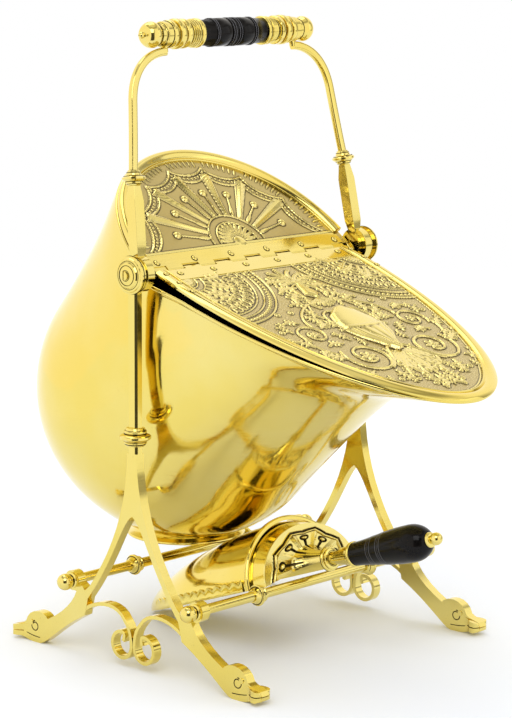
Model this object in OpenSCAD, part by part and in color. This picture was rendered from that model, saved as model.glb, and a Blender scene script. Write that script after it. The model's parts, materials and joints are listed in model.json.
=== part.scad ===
// Coal scuttle: a swinging helmet bucket with a hinged lid, hung between two side frames,
// with a bail handle above and a shovel stowed on the crossbar below.
// X runs along the pivots, the lip points to -Y, Z is up and the floor is at Z = 0.

/* [Stand] */
// Height of the bucket pivots above the floor
pivot_z = 370; // [350:1:390]
// Distance from the flank of the hood out to the middle of each side frame
side_gap = 14; // [12:0.5:20]
// Thickness of the flat bar of a side frame
frame_t = 9.5; // [8.5:0.5:10.5]
// Width of the upright post, seen from the side
post_w = 12; // [10:0.5:14]
// Height of the crotch where the two legs part
crotch_z = 146; // [135:1:155]
// Distance of each toe tip from the pivot plane
toe_y = 164; // [158:1:175]
// Width of the flared bill of a foot
bill_w = 20; // [15:0.5:24]
// Thickness of the scroll bands
scroll_t = 3.6; // [3:0.2:4.4]
// Radius of the round loop of a scroll
scroll_r = 14.6; // [12:0.2:15.5]

/* [Crossbars] */
// Distance of the crossbars from the pivot plane
crossbar_y = 81.5; // [78:0.5:86]
// Height of the crossbars above the floor
crossbar_z = 70.9; // [66:0.1:74]
// Diameter of the crossbars
crossbar_d = 9.5; // [8:0.5:10.5]
// Radius of the eye of a frame round a crossbar
ear_r = 9.5; // [8.5:0.5:11]
// Distance of the turned knops from the middle plane
knop_x = 79; // [77:1:110]
// Radius of the disc on a knop
knop_r = 10; // [8:0.5:12]
// Radius of the ball finials at the crossbar ends
finial_r = 8; // [6.5:0.5:10]

/* [Collars and pivots] */
// Height of the middle of the post collars
collar_z = 220.5; // [215:0.5:250]
// Largest radius of the post collars
collar_r = 14.5; // [12:0.5:15.5]
// Radius of the pivot bolts
bolt_r = 5; // [4:0.5:6]
// Radius of the stepped cap of a pivot bolt
cap_r = 17.4; // [15:0.2:19]
// Radius of the eye at the top of a post
eye_r = 15; // [12:0.5:17]

/* [Bail handle] */
// Backward lean of the bail handle in degrees
bail_lean = 8.7; // [0:0.1:12]
// Radius of the boss at the foot of a bail arm
boss_r = 16.5; // [14:0.5:18]
// Width of the square bail arms
arm_w = 11.5; // [9:0.5:12]
// Distance from the pivots to the middle of the arm collars
joint_v = 87; // [82:1:100]
// Width of the bent upper bars
bow_w = 8; // [6:0.5:9]
// Depth of the bent upper bars
bow_d = 6.5; // [5:0.5:9]
// Distance from the pivots to the grip axis
grip_v = 215.2; // [205:0.2:230]
// Half length of the black grip
grip_half = 43; // [38:1:50]
// Radius of the black grip at its middle
grip_r = 13.4; // [12:0.1:15]

/* [Bucket] */
// How much wider the round bottom and barrel are than the hood, on each side
belly = 4; // [1:0.5:5]
// Tilt of the bucket axis away from vertical in degrees
body_tilt = 40; // [36:0.5:42]
// Distance from the pivot line down the bucket axis to the end of its round bottom
body_len = 305.6; // [296:0.2:310]
// Forward offset of the bucket axis from the pivot line
body_shift = 18; // [12:0.5:22]
// Radius of the rear rim and hood
hood_r = 142; // [138:0.5:142]
// Distance of the centre of the hood's arc behind the pivot line
hood_back = 2; // [0:0.5:4]
// Thickness of the bucket sheet
wall = 1.3; // [1:0.1:2]
// Radius of the wired edge of the rim
wire_r = 1.8; // [1.4:0.1:2.4]
// Fullness of the front of the bucket against its rear
front_full = 1.05; // [1:0.01:1.06]
// Outward lean of the front wall below the lip
front_lean = 19.5; // [5:0.5:22]
// Length of the curve that turns the front wall out into the lip
lip_run = 74; // [50:1:80]
// Gap between lid and rim beside the pivots
rim_gap = 7; // [4:0.5:9]
// Width of the rolled hood band
hood_w = 12.5; // [10:0.5:16]
// Height of the rolled hood band
hood_h = 6.5; // [4:0.5:9]
// Radius of the foot ring at its base
foot_r = 58; // [50:1:64]
// Height of the foot ring base above the floor
foot_z = 89; // [86:0.5:92]

/* [Lid] */
// Downward slope of the lid in degrees
lid_slope = 20; // [18:0.5:22]
// Length of the lid from the pivot line to its tip
lid_len = 292; // [270:1:294]
// Step from the flank of the hood in to the side of the lid
lid_inset = 7; // [4:0.5:14]
// Distance from the pivot line to the widest place of the lid
lid_wide_at = 45; // [35:1:60]
// Thickness of the lid and hood sheets
sheet = 1; // [0.8:0.1:1.4]
// Width of the lid border
border_w = 13; // [10:0.5:16]
// Height of the lid border above its sheet
border_h = 2.4; // [1.6:0.1:3.2]

/* [Hinge] */
// Radius of the hinge knuckles
knuckle_r = 2; // [1.8:0.1:2.4]
// Radius of the hinge pin
pin_r = 1; // [0.8:0.1:1.2]
// Gap between the knuckles and the straps and sheets beside them
leaf_gap = 1.8; // [1.6:0.1:2.6]
// Step from the side of the lid in to the end of the row of knuckles
hinge_inset = 20; // [19:1:45]
// Number of knuckles
knuckles = 11; // [7:2:15]
// Width of the rear strap
rear_strap_w = 14; // [12:0.5:20]
// Width of the front strap
front_strap_w = 19; // [14:0.5:24]
// Number of rivets on each strap
rivets = 6; // [4:1:8]
// Distance from the ends of a strap to its last rivets
rivet_end = 9; // [5:0.5:20]
// Distance from the pivot line to the first rivet on the lid border
border_rivet_at = 12; // [9:1:16]
// Spacing of the rivets on the lid border
border_pitch = 18; // [12:1:22]
// Radius of a rivet head
rivet_r = 3; // [2:0.2:4]

/* [Ornament] */
// Height of the raised ornament above its sheet
relief_h = 1.4; // [0.8:0.1:2]
// Number of sectors of the fan on the rear panel
sectors = 7; // [5:2:9]
// Outer radius of the ring round the fan's rosette
ring_r = 35; // [30:0.5:38]
// Width of the scalloped border of the fan
scallop_w = 9.5; // [7:0.5:12]
// Outer radius of the beaded rings round a corner medallion of the lid
medallion_r = 92; // [84:1:96]
// Distance from the pivot line to the root of the palmette
palmette_at = 52; // [46:1:56]
// Height of the urn above the lid
urn_h = 5.5; // [3:0.5:7]
// Distance from the pivot line to the widest place of the urn
urn_at = 150; // [146:1:154]
// Half width of the urn
urn_half = 28; // [24:0.5:30]
// Distance from the pivot line to the middle of the lid scrolls
scroll_at = 196; // [190:1:200]
// Radius of the lid scrolls
coil_r = 28; // [24:0.5:30]

/* [Shovel] */
// Length of the scoop from back plate to tip
scoop_len = 224; // [200:1:226]
// Half width of the scoop
scoop_half = 65; // [50:1:66]
// Height of the scoop
scoop_h = 56; // [46:1:58]
// Thickness of the scoop sheet
scoop_wall = 1.4; // [1:0.1:2]
// Distance of the scoop tip above the floor
tip_z = 1; // [0.6:0.1:3]
// Distance of the hoop behind the back plate
hoop_at = 21; // [12:1:30]
// Height of the fan centre above the flat edge of the back plate
fan_z = 10.6; // [9:0.2:14]
// How far the fan hub stands proud of the back plate
fan_out = 23; // [15:0.5:28]
// Number of lobes of the fan
fan_lobes = 5; // [3:2:9]
// Upward bend of the handle against the scoop in degrees
handle_bend = 1.5; // [0:0.1:5]
// Length of the ferrule from the fan hub to the black handle
ferrule_len = 36; // [25:0.5:45]
// Length of the black handle
handle_len = 92; // [75:1:100]
// Largest radius of the black handle
handle_r = 17.6; // [14:0.2:18]
// Radius of the ball at the end of the handle
ball_r = 6; // [4:0.2:8]

/* [Fits] */
// Radial clearance of pins turning in their eyes
run_gap = 0.05; // [0.02:0.01:0.1]
// Clearance between pieces that pass each other
pass_gap = 0.4; // [0.3:0.05:0.8]

/* [Hidden] */
$fn = 64;
brass = [0.86, 0.68, 0.28];
dark_brass = [0.70, 0.54, 0.22];
ebony = [0.08, 0.06, 0.06];

// ---------------------------------------------------------------- helpers

// Points of a cubic curve from a to d in n steps
function curve(a, b, c, d, n = 10) =
    [for (i = [0:n]) let (t = i / n, u = 1 - t)
        u * u * u * a + 3 * u * u * t * b + 3 * u * t * t * c + t * t * t * d];

// All points of a list but the last one
function open_end(pts) = [for (i = [0:len(pts) - 2]) pts[i]];

// A list in reverse order
function backwards(pts) = [for (i = [len(pts) - 1:-1:0]) pts[i]];

// Unit normal to the left of a 2D path at point i
function path_normal(pts, i) =
    let (a = pts[max(i - 1, 0)], b = pts[min(i + 1, len(pts) - 1)], d = (b - a) / norm(b - a))
    [-d[1], d[0]];

// A 2D path moved sideways by w
function beside(pts, w) = [for (i = [0:len(pts) - 1]) pts[i] + w * path_normal(pts, i)];

// Outline of a flat band of width w along a path
function band(pts, w) = concat(beside(pts, w / 2), backwards(beside(pts, -w / 2)));

// Closed solid through a stack of rings with equal numbers of points.
// With tube set, the last ring joins the first; otherwise both ends are capped.
// With thin set, a ring is two long sides there and back, and a cap is the strip between them.
module loft(rings, tube = false, thin = false) {
    n = len(rings[0]);
    m = len(rings);
    sides = [for (j = [0:m - (tube ? 1 : 2)], i = [0:n - 1])
        let (k = (j + 1) % m, h = (i + 1) % n)
        each [[j * n + i, j * n + h, k * n + h], [j * n + i, k * n + h, k * n + i]]];
    cap = thin ? [for (i = [0:n / 2 - 2]) [i, i + 1, n - 2 - i, n - 1 - i]] : [[for (i = [0:n - 1]) i]];
    first_caps = [for (c = cap) backwards(c)];
    last_caps = [for (c = cap) [for (i = c) (m - 1) * n + i]];
    polyhedron([for (r = rings) each r], tube ? sides : concat(first_caps, sides, last_caps));
}

// Body turned about the X axis, from a profile of [along X, radius] points
module turned(profile) {
    rotate([0, 90, 0])
        rotate_extrude()
            polygon([for (p = profile) [p[1], p[0]]]);
}

// Drawing in the Y-Z plane, given thickness along X and centred on X = 0
module side_plate(t) {
    rotate([90, 0, 90])
        linear_extrude(t, center = true)
            children();
}

// Both mirror twins of a piece on the -Y and +Y sides
module front_and_rear() {
    children();
    mirror([0, 1, 0]) children();
}

// The -X twin when side is -1, the piece itself when side is 1
module on_side(side) {
    mirror([side < 0 ? 1 : 0, 0, 0]) children();
}

// ---------------------------------------------------------------- stand

frame_x = hood_r + side_gap;
frame_in = frame_x - frame_t / 2;
frame_out = frame_x + frame_t / 2;
shoulder_z = crotch_z + 59;
knee = [crossbar_y - 24.5, crossbar_z - 0.9];
heel = [crossbar_y - 21.5, crossbar_z - 13.9];
scroll_root = [crossbar_y - 17.5, crossbar_z - 31];
instep = [toe_y - 48, 26];
eye_inner_x = frame_x - 0.5;

// Outline of one leg with its ear and its beaked foot, in Y and Z
module leg_outline() {
    polygon(concat(
        [[0, shoulder_z]],
        curve([post_w / 2, shoulder_z], [post_w / 2 + 1, shoulder_z - 55],
            [knee[0] - 29, knee[1] + 38], knee),
        [[crossbar_y - 17.5, crossbar_z - 6.9], [crossbar_y - 14, crossbar_z - 3],
            [crossbar_y - 9, crossbar_z], [crossbar_y, crossbar_z - 9]],
        curve([crossbar_y - 6, crossbar_z - 9.4], [crossbar_y - 2, crossbar_z - 20],
            [instep[0] - 24, instep[1] + 12], instep, 6),
        curve(instep, [toe_y - 43, 33.5], [toe_y - 22, 34.5], [toe_y - 17, 18.5], 8),
        curve([toe_y - 17, 18.5], [toe_y - 12, 15], [toe_y - 8, 15.5], [toe_y - 2, 13.5], 4),
        [[toe_y, 9.5], [toe_y - 1, 5]],
        curve([toe_y - 3, 3.6], [toe_y - 12, 5], [toe_y - 16, 0.4], [toe_y - 27, 0], 6),
        curve([toe_y - 37, 0], [toe_y - 47, 2], [toe_y - 62, 20], scroll_root, 8),
        [heel],
        curve(heel, [heel[0] - 36, heel[1] + 43], [14, crotch_z - 8], [0, crotch_z])
    ));
    translate([crossbar_y, crossbar_z])
        circle(ear_r);
}

// Bill of a foot: the toe profile widened towards its tip and split by a mouth line
module bill() {
    intersection() {
        side_plate(bill_w)
            polygon(concat(
                [[toe_y - 24, 0.1], [toe_y - 24, 16]],
                curve([toe_y - 17, 16], [toe_y - 12, 14.6], [toe_y - 8, 15], [toe_y - 2, 13.3], 4),
                [[toe_y, 9.5], [toe_y - 1, 5], [toe_y - 4, 3.7], [toe_y - 12, 3.7]]));
        linear_extrude(40)
            polygon(concat(
                [[-frame_t / 2, toe_y - 24]],
                curve([-frame_t / 2, toe_y - 20], [-frame_t / 2, toe_y - 12],
                    [-bill_w / 2, toe_y - 12], [-bill_w / 2, toe_y - 6], 6),
                curve([-bill_w / 2, toe_y - 4], [-bill_w / 3, toe_y + 1],
                    [bill_w / 3, toe_y + 1], [bill_w / 2, toe_y - 4], 8),
                curve([bill_w / 2, toe_y - 6], [bill_w / 2, toe_y - 12],
                    [frame_t / 2, toe_y - 12], [frame_t / 2, toe_y - 20], 6),
                [[frame_t / 2, toe_y - 24]]));
    }
}

// One side frame, drawn at +X: chamfered post, pivot eye, legs, ears and beaked feet
module side_frame(side) {
    chamfer = 2;
    on_side(side)
    difference() {
        union() {
            translate([frame_x, 0, 0])
                front_and_rear() {
                    side_plate(frame_t)
                        leg_outline();
                    bill();
                    translate([0, toe_y - 25, 19])
                        rotate([0, 90, 0])
                            cylinder(r = 2.6, h = frame_t + 1.4, center = true);
                }
            translate([frame_x, 0, shoulder_z - 1])
                linear_extrude(pivot_z - shoulder_z - eye_r / 2)
                    polygon([
                        [-frame_t / 2 + chamfer, -post_w / 2], [frame_t / 2 - chamfer, -post_w / 2],
                        [frame_t / 2, -post_w / 2 + chamfer], [frame_t / 2, post_w / 2 - chamfer],
                        [frame_t / 2 - chamfer, post_w / 2], [-frame_t / 2 + chamfer, post_w / 2],
                        [-frame_t / 2, post_w / 2 - chamfer], [-frame_t / 2, -post_w / 2 + chamfer]]);
            translate([eye_inner_x, 0, pivot_z])
                rotate([0, 90, 0])
                    cylinder(r = eye_r, h = frame_out - eye_inner_x);
        }
        translate([frame_in - 1, 0, pivot_z])
            rotate([0, 90, 0])
                cylinder(r = boss_r + pass_gap, h = eye_inner_x - frame_in + 1);
        translate([frame_in - 1, 0, pivot_z])
            rotate([0, 90, 0])
                cylinder(r = bolt_r, h = frame_t + 2);
        front_and_rear()
            translate([frame_in - 1, crossbar_y, crossbar_z])
                rotate([0, 90, 0])
                    cylinder(r = crossbar_d / 2, h = frame_t + 2);
        front_and_rear()
            translate([frame_x - bill_w, toe_y - 15, 8.4])
                cube([2 * bill_w, 20, 0.9]);
    }
}

module left_frame() { color(brass) side_frame(-1); }
module right_frame() { color(brass) side_frame(1); }

// Stepped ring round a post
module post_collar(side) {
    step = collar_r - 8.6;
    on_side(side)
    translate([frame_x, 0, collar_z])
        difference() {
            rotate_extrude()
                polygon([
                    [0, -8.5], [8.4, -8.5], [9.4, -7.2], [9.4, -6.4], [10.6, -6], [10.9, -5.2],
                    [10.2, -4.2], [8.6 + step * 0.7, -2.8], [collar_r, -1.4], [collar_r, 0.8],
                    [8.6 + step * 0.75, 2], [10, 3], [10.6, 4.4], [10.6, 5.4], [9.4, 6.4],
                    [8.4, 8.5], [0, 8.5]]);
            cube([frame_t, post_w, 30], center = true);
        }
}

module left_post_collar() { color(brass) post_collar(-1); }
module right_post_collar() { color(brass) post_collar(1); }

// Centre line of one knee scroll, in Y and Z
scroll_mid = [scroll_r + 0.1, 7 + scroll_r];
scroll_run = scroll_r - scroll_t / 2;
scroll_line = concat(
    open_end(curve([crossbar_y - 17, crossbar_z - 25], [crossbar_y - 34, crossbar_z - 13],
        [scroll_mid[0] + 6, crossbar_z - 10], [scroll_mid[0] - 4, scroll_mid[1] + 24], 9)),
    open_end(curve([scroll_mid[0] - 4, scroll_mid[1] + 24], [scroll_mid[0] - 11, scroll_mid[1] + 17],
        [scroll_mid[0] - scroll_run, scroll_mid[1] + 9], [scroll_mid[0] - scroll_run, scroll_mid[1]], 5)),
    open_end([for (i = [0:18]) let (a = 180 + i * 15, r = scroll_run - i * 0.03)
        scroll_mid + r * [cos(a), sin(a)]]),
    curve(scroll_mid + [0, scroll_run - 0.6], scroll_mid + [-4.5, scroll_run - 0.4],
        scroll_mid + [-4, 8], scroll_mid + [-2, 3.5], 6));

// Pair of knee scrolls under one frame
module scroll_pair(side) {
    on_side(side)
    translate([frame_x, 0, 0])
        front_and_rear()
            side_plate(frame_t)
                difference() {
                    polygon(band(scroll_line, scroll_t));
                    leg_outline();
                }
}

module left_scrolls() { color(brass) scroll_pair(-1); }
module right_scrolls() { color(brass) scroll_pair(1); }

// Round bar between the frames
module crossbar(y) {
    translate([-frame_out, y, crossbar_z])
        rotate([0, 90, 0])
            cylinder(d = crossbar_d, h = 2 * frame_out);
}

module front_crossbar() { color(brass) crossbar(-crossbar_y); }
module rear_crossbar() { color(brass) crossbar(crossbar_y); }

// Turned knops threaded on the crossbars
module crossbar_knops() {
    color(brass)
        for (sx = [-1, 1], sy = [-1, 1])
            translate([sx * knop_x, sy * crossbar_y, crossbar_z])
                on_side(sx)
                    difference() {
                        turned([
                            [-8, 0], [-8, 6.4], [-7, 7.4], [-5.6, 7.6], [-4.6, 6.6],
                            [-3.4, 6.6], [-1, knop_r - 1], [-0.8, knop_r], [0.8, knop_r],
                            [1, knop_r - 1.2], [2.4, 8], [5, 6.4], [7, 6], [7, 0]]);
                        rotate([0, 90, 0])
                            cylinder(d = crossbar_d, h = 40, center = true);
                    }
}

// Ball finials screwed on the crossbar ends
module crossbar_finials() {
    color(brass)
        for (sx = [-1, 1], sy = [-1, 1])
            translate([sx * frame_out, sy * crossbar_y, crossbar_z])
                on_side(sx)
                    turned(concat(
                        [[0, 0], [0, finial_r - 0.7], [1.2, finial_r - 0.4], [2, finial_r - 1.4], [2.4, 5.6]],
                        [for (a = [-45:15:90]) [2.6 + finial_r * (0.75 + sin(a)), finial_r * cos(a)]]));
}

// Bolt through bucket, bail and post, with its stepped domed cap and slotted end
module pivot_bolt(side) {
    tip_in = hood_r + 1.3;
    on_side(side)
    translate([0, 0, pivot_z])
        difference() {
            union() {
                turned([[tip_in, 0], [tip_in, bolt_r], [frame_out, bolt_r], [frame_out, 0]]);
                translate([frame_out, 0, 0])
                    turned([
                        [0, 0], [0, cap_r], [2.2, cap_r], [2.8, cap_r - 1.6], [3.8, cap_r - 2.2],
                        [4.2, cap_r - 5], [5.4, cap_r - 6], [6, cap_r - 8], [6.4, cap_r - 10],
                        [7.2, 5.6], [7.6, 4.2], [9.6, 4.2], [10.2, 3.2], [10.2, 0]]);
            }
            translate([frame_out + 9.4, 0, 0])
                cube([2, 1.2, 12], center = true);
        }
}

module left_pivot_bolt() { color(brass) pivot_bolt(-1); }
module right_pivot_bolt() { color(brass) pivot_bolt(1); }

// ---------------------------------------------------------------- bail handle

boss_in = frame_in - 4.75;
boss_out = eye_inner_x - 0.3;
boss_x = (boss_in + boss_out) / 2;
joint_x = frame_x - 11.7;
arm_tilt = atan((boss_x - joint_x) / joint_v);
saddle_x = grip_half + 44;
saddle_r = 12;

// Frame of the bail: X across, Z along the bail away from the pivots
module in_bail() {
    translate([0, 0, pivot_z])
        rotate([-bail_lean, 0, 0])
            children();
}

// Frame of one slanted arm: Z runs from the boss to the arm collar
module along_arm() {
    translate([boss_x, 0, 0])
        rotate([0, -arm_tilt, 0])
            children();
}

// Square bar with pyramid ends on a round boss
module bail_arm(side) {
    half = arm_w / 2;
    foot = boss_r - 4;
    top = joint_v / cos(arm_tilt) - 7;
    taper = [[-4, foot], [-half, foot + 12], [-half, top - 14], [-4, top],
        [4, top], [half, top - 14], [half, foot + 12], [4, foot]];
    in_bail() on_side(side)
    difference() {
        union() {
            translate([boss_in, 0, 0])
                rotate([0, 90, 0])
                    cylinder(r = boss_r, h = boss_out - boss_in);
            along_arm()
                intersection() {
                    rotate([90, 0, 0])
                        linear_extrude(arm_w, center = true)
                            polygon(taper);
                    rotate([90, 0, 90])
                        linear_extrude(arm_w, center = true)
                            polygon(taper);
                }
        }
        translate([boss_in - 1, 0, 0])
            rotate([0, 90, 0])
                cylinder(r = bolt_r + run_gap, h = boss_out - boss_in + 2);
        translate([boss_out, 0, 0])
            rotate([0, 90, 0])
                cylinder(r = 2 * boss_r, h = 20);
    }
}

module left_bail_arm() { color(brass) bail_arm(-1); }
module right_bail_arm() { color(brass) bail_arm(1); }

// Turned collar between arm and bow
module bail_collar(side) {
    mid = joint_v / cos(arm_tilt);
    in_bail() on_side(side) along_arm()
        translate([0, 0, mid])
            rotate_extrude()
                polygon([
                    [0, -7], [5.6, -7], [6.4, -5.8], [7.4, -5], [7.4, -3.8], [9, -3], [11, -1.4],
                    [11, 0.4], [9.4, 1.4], [7.2, 2.4], [6.8, 4], [6, 5.4], [5.2, 7], [0, 7]]);
}

module left_bail_collar() { color(brass) bail_collar(-1); }
module right_bail_collar() { color(brass) bail_collar(1); }

// Centre line of the bent upper bar, in X and distance from the pivots
bow_start = [joint_x - 7 * sin(arm_tilt), joint_v + 7 * cos(arm_tilt)];
bow_line = concat(
    open_end(curve(bow_start, bow_start + [-2.4, 14], [joint_x - 7, grip_v - 78],
        [joint_x - 9.4, grip_v - 59], 6)),
    curve([joint_x - 9.4, grip_v - 59], [joint_x - 13, grip_v - 32], [saddle_x + 26, grip_v - 16.5],
        [saddle_x, grip_v - 15.7], 12));

// Bent bar from the arm collar to the saddle under the grip
module bail_bow(side) {
    in_bail() on_side(side)
    difference() {
        union() {
            rotate([90, 0, 0])
                linear_extrude(bow_d, center = true)
                    polygon(band(bow_line, bow_w));
            translate([saddle_x, 0, grip_v - 19])
                cylinder(r = 2.9, h = 12);
        }
        translate([0, 0, grip_v])
            rotate([0, 90, 0])
                cylinder(r = saddle_r, h = 2 * frame_x, center = true);
        translate([joint_x, 0, joint_v])
            rotate([0, -arm_tilt, 0])
                translate([-20, -20, -13])
                    cube([40, 40, 20]);
    }
}

module left_bail_bow() { color(brass) bail_bow(-1); }
module right_bail_bow() { color(brass) bail_bow(1); }

tie_r = 4;
tie_half = grip_half + 53;

// Rod that clamps the grip and its ends together
module grip_tie_rod() {
    color(dark_brass)
        in_bail()
            translate([0, 0, grip_v])
                turned([[-tie_half, 0], [-tie_half, tie_r], [tie_half, tie_r], [tie_half, 0]]);
}

// Radius of the black grip at a distance from its middle, with groups of fine grooves
function groove(x, at) = abs(abs(x) - at) < 0.5 ? 0.9 : 0;
function grip_radius(x) =
    grip_r - 0.9 * pow(x / grip_half, 2) - groove(x, 14) - groove(x, 17) - groove(x, 20)
    - groove(x, grip_half - 4) - groove(x, grip_half - 7);

module black_grip() {
    color(ebony)
        in_bail()
            translate([0, 0, grip_v])
                turned(concat(
                    [[-grip_half, tie_r], [-grip_half, grip_r - 1.6]],
                    [for (x = [-grip_half + 1:1:grip_half - 1]) [x, grip_radius(x)]],
                    [[grip_half, grip_r - 1.6], [grip_half, tie_r]]));
}

// Brass end of the grip: rings, ribbed cone and the saddle drum that carries the bow
module grip_ferrule(side) {
    in_bail() on_side(side)
        translate([grip_half, 0, grip_v])
            turned(concat(
                [[0, tie_r], [0, 13.2], [1, 13.8], [3, 13.8], [4, 13.2], [4.4, 12.4], [6, 12.4]],
                [for (i = [0:3]) each [[6.4 + i * 2.2, 13.3 - i * 0.45], [7.8 + i * 2.2, 13.5 - i * 0.45],
                    [8.2 + i * 2.2, 12.6 - i * 0.45]]],
                [[15.4, 11], [17, 11], [17.6, 13], [18.6, 13.8], [22.4, 13.8], [23.8, 13], [24, 11.5],
                    [25.4, 11.5], [25.8, 13.6], [27, 14.2], [31, 14.2], [32.6, 13.4], [33, 11],
                    [35, 11], [35.4, 12.6], [36.4, 13], [40, 13], [41, 12.4], [41, saddle_r],
                    [47, saddle_r], [47.6, 10.6], [48.6, 9.8], [53, 9.8], [53, tie_r]]));
}

module left_grip_ferrule() { color(brass) grip_ferrule(-1); }
module right_grip_ferrule() { color(brass) grip_ferrule(1); }

// End bell with its small nub
module grip_bell(side) {
    in_bail() on_side(side)
        translate([tie_half, 0, grip_v])
            turned(concat(
                [[0, 0], [0, 9.8]],
                curve([3, 11], [6, 13.2], [11, 12.6], [14.6, 8.6], 6),
                curve([15, 8], [15.4, 4], [15.6, 3], [16.4, 2.4], 3),
                [for (a = [-40:20:90]) [19 + 3.2 * sin(a), 3.2 * cos(a)]]));
}

module left_grip_bell() { color(brass) grip_bell(-1); }
module right_grip_bell() { color(brass) grip_bell(1); }

// ---------------------------------------------------------------- bucket

// Frame of the bucket: Y runs up the rear panel, Z along the bucket axis towards the hood
module in_bucket() {
    translate([0, 0, pivot_z])
        rotate([body_tilt, 0, 0])
            children();
}

// Frame of the lid: -Y runs towards its tip, Z is its upper side
module in_lid() {
    translate([0, 0, pivot_z])
        rotate([lid_slope, 0, 0])
            children();
}

around = 60;
side_steps = 3;
bend = body_tilt - lid_slope;
hood_shift = -hood_back;
body_r = hood_r + belly;
body_drop = body_len - body_r;
lid_half = hood_r - lid_inset;
rim_len = lid_len - 3;
lid_round = 1.036;

// Half width and distance of the lid outline at angle a, 0 at the widest place and 90 at the tip
function lid_at(a, half, far) =
    [half * pow(cos(a), lid_round), lid_wide_at + (far - lid_wide_at) * pow(sin(a), lid_round)];

// Rim of the front half at step k of a quarter, from the hinge to the tip
function rim_quarter(k) =
    k <= side_steps
        ? [hood_r - (hood_r - lid_half) * k / side_steps, 6 + (lid_wide_at - 6) * k / side_steps]
        : lid_at(90 * (k - side_steps) / (around / 4 - side_steps), lid_half, rim_len);

// Centre of the wired edge at step i round the bucket
function rim_point(i) =
    i <= around / 2
        ? [hood_r * cos(i * 360 / around), hood_r * sin(i * 360 / around) - hood_shift, -2.2]
        : let (k = i <= 3 * around / 4 ? i - around / 2 : around - i,
            q = rim_quarter(k), sx = i <= 3 * around / 4 ? -1 : 1,
            h = -wire_r - 1.1 - rim_gap * (1 - q[1] / rim_len))
          [sx * q[0], -q[1] * cos(bend) + h * sin(bend), q[1] * sin(bend) + h * cos(bend)];

// How strongly the wall turns outwards at step i, 0 at the sides and rear and 1 under the lip
function flare(i) = i <= around / 2 ? 0 : pow(sin((i - around / 2) * 360 / around), 0.86);

dome_steps = 9;
wall_steps = 15;
top_step = dome_steps + wall_steps;
upright = 0.79;
rear_run = 27;
lip_rise = 2.97;

// Outside of the bucket at step i round it and step j up it
function outer_point(i, j) =
    let (a = i * 360 / around, full = i > around / 2 ? front_full : 1,
        out = [cos(a), sin(a) * full, 0], mid = [0, -body_shift, -body_drop])
    j <= dome_steps
        ? let (t = 6 + 84 * j / dome_steps)
          mid + body_r * (sin(t) * out - [0, 0, cos(t)])
        : let (t = (j - dome_steps) / wall_steps, u = 1 - t, f = flare(i),
            p0 = mid + body_r * out, p3 = rim_point(i),
            way = [0, 0, 1] * (1 - f) + [0, -cos(bend), sin(bend) * lip_rise] * f,
            p1 = p0 + [0, 0, (p3[2] - p0[2]) * (upright + 0.09 * f)] + out * front_lean * f,
            p2 = p3 - way * (rear_run + (lip_run - rear_run) * f))
          u * u * u * p0 + 3 * u * u * t * p1 + 3 * u * t * t * p2 + t * t * t * p3;

function unit(v) = v / norm(v);

// Outward direction square to the bucket wall
function outward(i, j) =
    let (a = outer_point((i + 1) % around, j) - outer_point((i + around - 1) % around, j),
        b = outer_point(i, min(j + 1, top_step)) - outer_point(i, max(j - 1, 0)))
    unit(cross(a, b));

// Rings of the outside and of the inside between two steps up the bucket
function outside(from, to) = [for (j = [from:to]) [for (i = [0:around - 1]) outer_point(i, j)]];
function inside(from, to) = [for (j = [to:-1:from])
    [for (i = [0:around - 1]) outer_point(i, j) - wall * outward(i, j)]];

// Rings round the wired edge, from outside over the top to inside
wire_rings = [for (a = [-50:47:185])
    [for (i = [0:around - 1])
        let (out = outward(i, top_step),
            run = unit(outer_point((i + 1) % around, top_step)
                - outer_point((i + around - 1) % around, top_step)),
            up = cross(out, run))
        rim_point(i) - wall / 2 * out + wire_r * (cos(a) * out + sin(a) * up)]];

// Raised round bottom of the bucket
module bucket_bottom() {
    color(brass)
        in_bucket()
            loft(concat(outside(0, dome_steps), inside(0, dome_steps)));
}

// Helmet-shaped wall with its wired rim, seamed to the round bottom
module bucket_barrel() {
    color(brass)
        in_bucket()
            loft(concat(outside(dome_steps, top_step - 1), wire_rings, inside(dome_steps, top_step - 1)), true);
}

foot_y = body_shift * -cos(body_tilt) + body_drop * sin(body_tilt);
ball_z = pivot_z - body_shift * sin(body_tilt) - body_drop * cos(body_tilt);

// Flared ring that the bucket stands on when it is lifted out
module foot_ring() {
    top_r = foot_r - 8;
    top_z = ball_z - sqrt(body_r * body_r - top_r * top_r);
    color(brass)
        translate([0, foot_y, 0])
            rotate_extrude()
                polygon(concat(
                    [[top_r - 1.6, top_z - 0.9], [top_r, top_z - 0.2]],
                    curve([top_r + 0.6, top_z - 2], [top_r + 2, foot_z + 3], [foot_r - 2, foot_z + 3.4],
                        [foot_r, foot_z + 2.4], 6),
                    [[foot_r + 0.6, foot_z + 1.2], [foot_r, foot_z], [foot_r - 2.4, foot_z]],
                    curve([foot_r - 3, foot_z + 1.4], [foot_r - 5, foot_z + 2], [top_r + 0.4, foot_z + 2],
                        [top_r - 1.4, top_z - 3], 6)));
}

panel_r = hood_r - 2.7;
strap_at = knuckle_r + leaf_gap;

// Sheet of the rear panel
module hood_panel() {
    color(brass)
        in_bucket()
            translate([0, 0, -0.2])
                linear_extrude(sheet)
                    intersection() {
                        translate([0, -hood_shift])
                            circle(panel_r, $fn = 128);
                        translate([-hood_r, strap_at])
                            square([2 * hood_r, 2 * hood_r]);
                    }
}

sheet_top = sheet - 0.2;
edge_r = hood_r - hood_w;
hub_y = strap_at + rear_strap_w + 4.5;
ridge_w = 1.4;
petals = 12;

// Distance from the fan hub to the hood band in the direction a
function edge_at(a) =
    let (q = hub_y + hood_shift)
    sqrt(edge_r * edge_r - pow(q * cos(a), 2)) - q * sin(a);

// Corner between two scallops, at step k round the fan and a distance back from the hood band
function fan_corner(k, back) =
    let (a = 180 * k / sectors)
    (edge_at(a) - back) * [cos(a), sin(a)];

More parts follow.
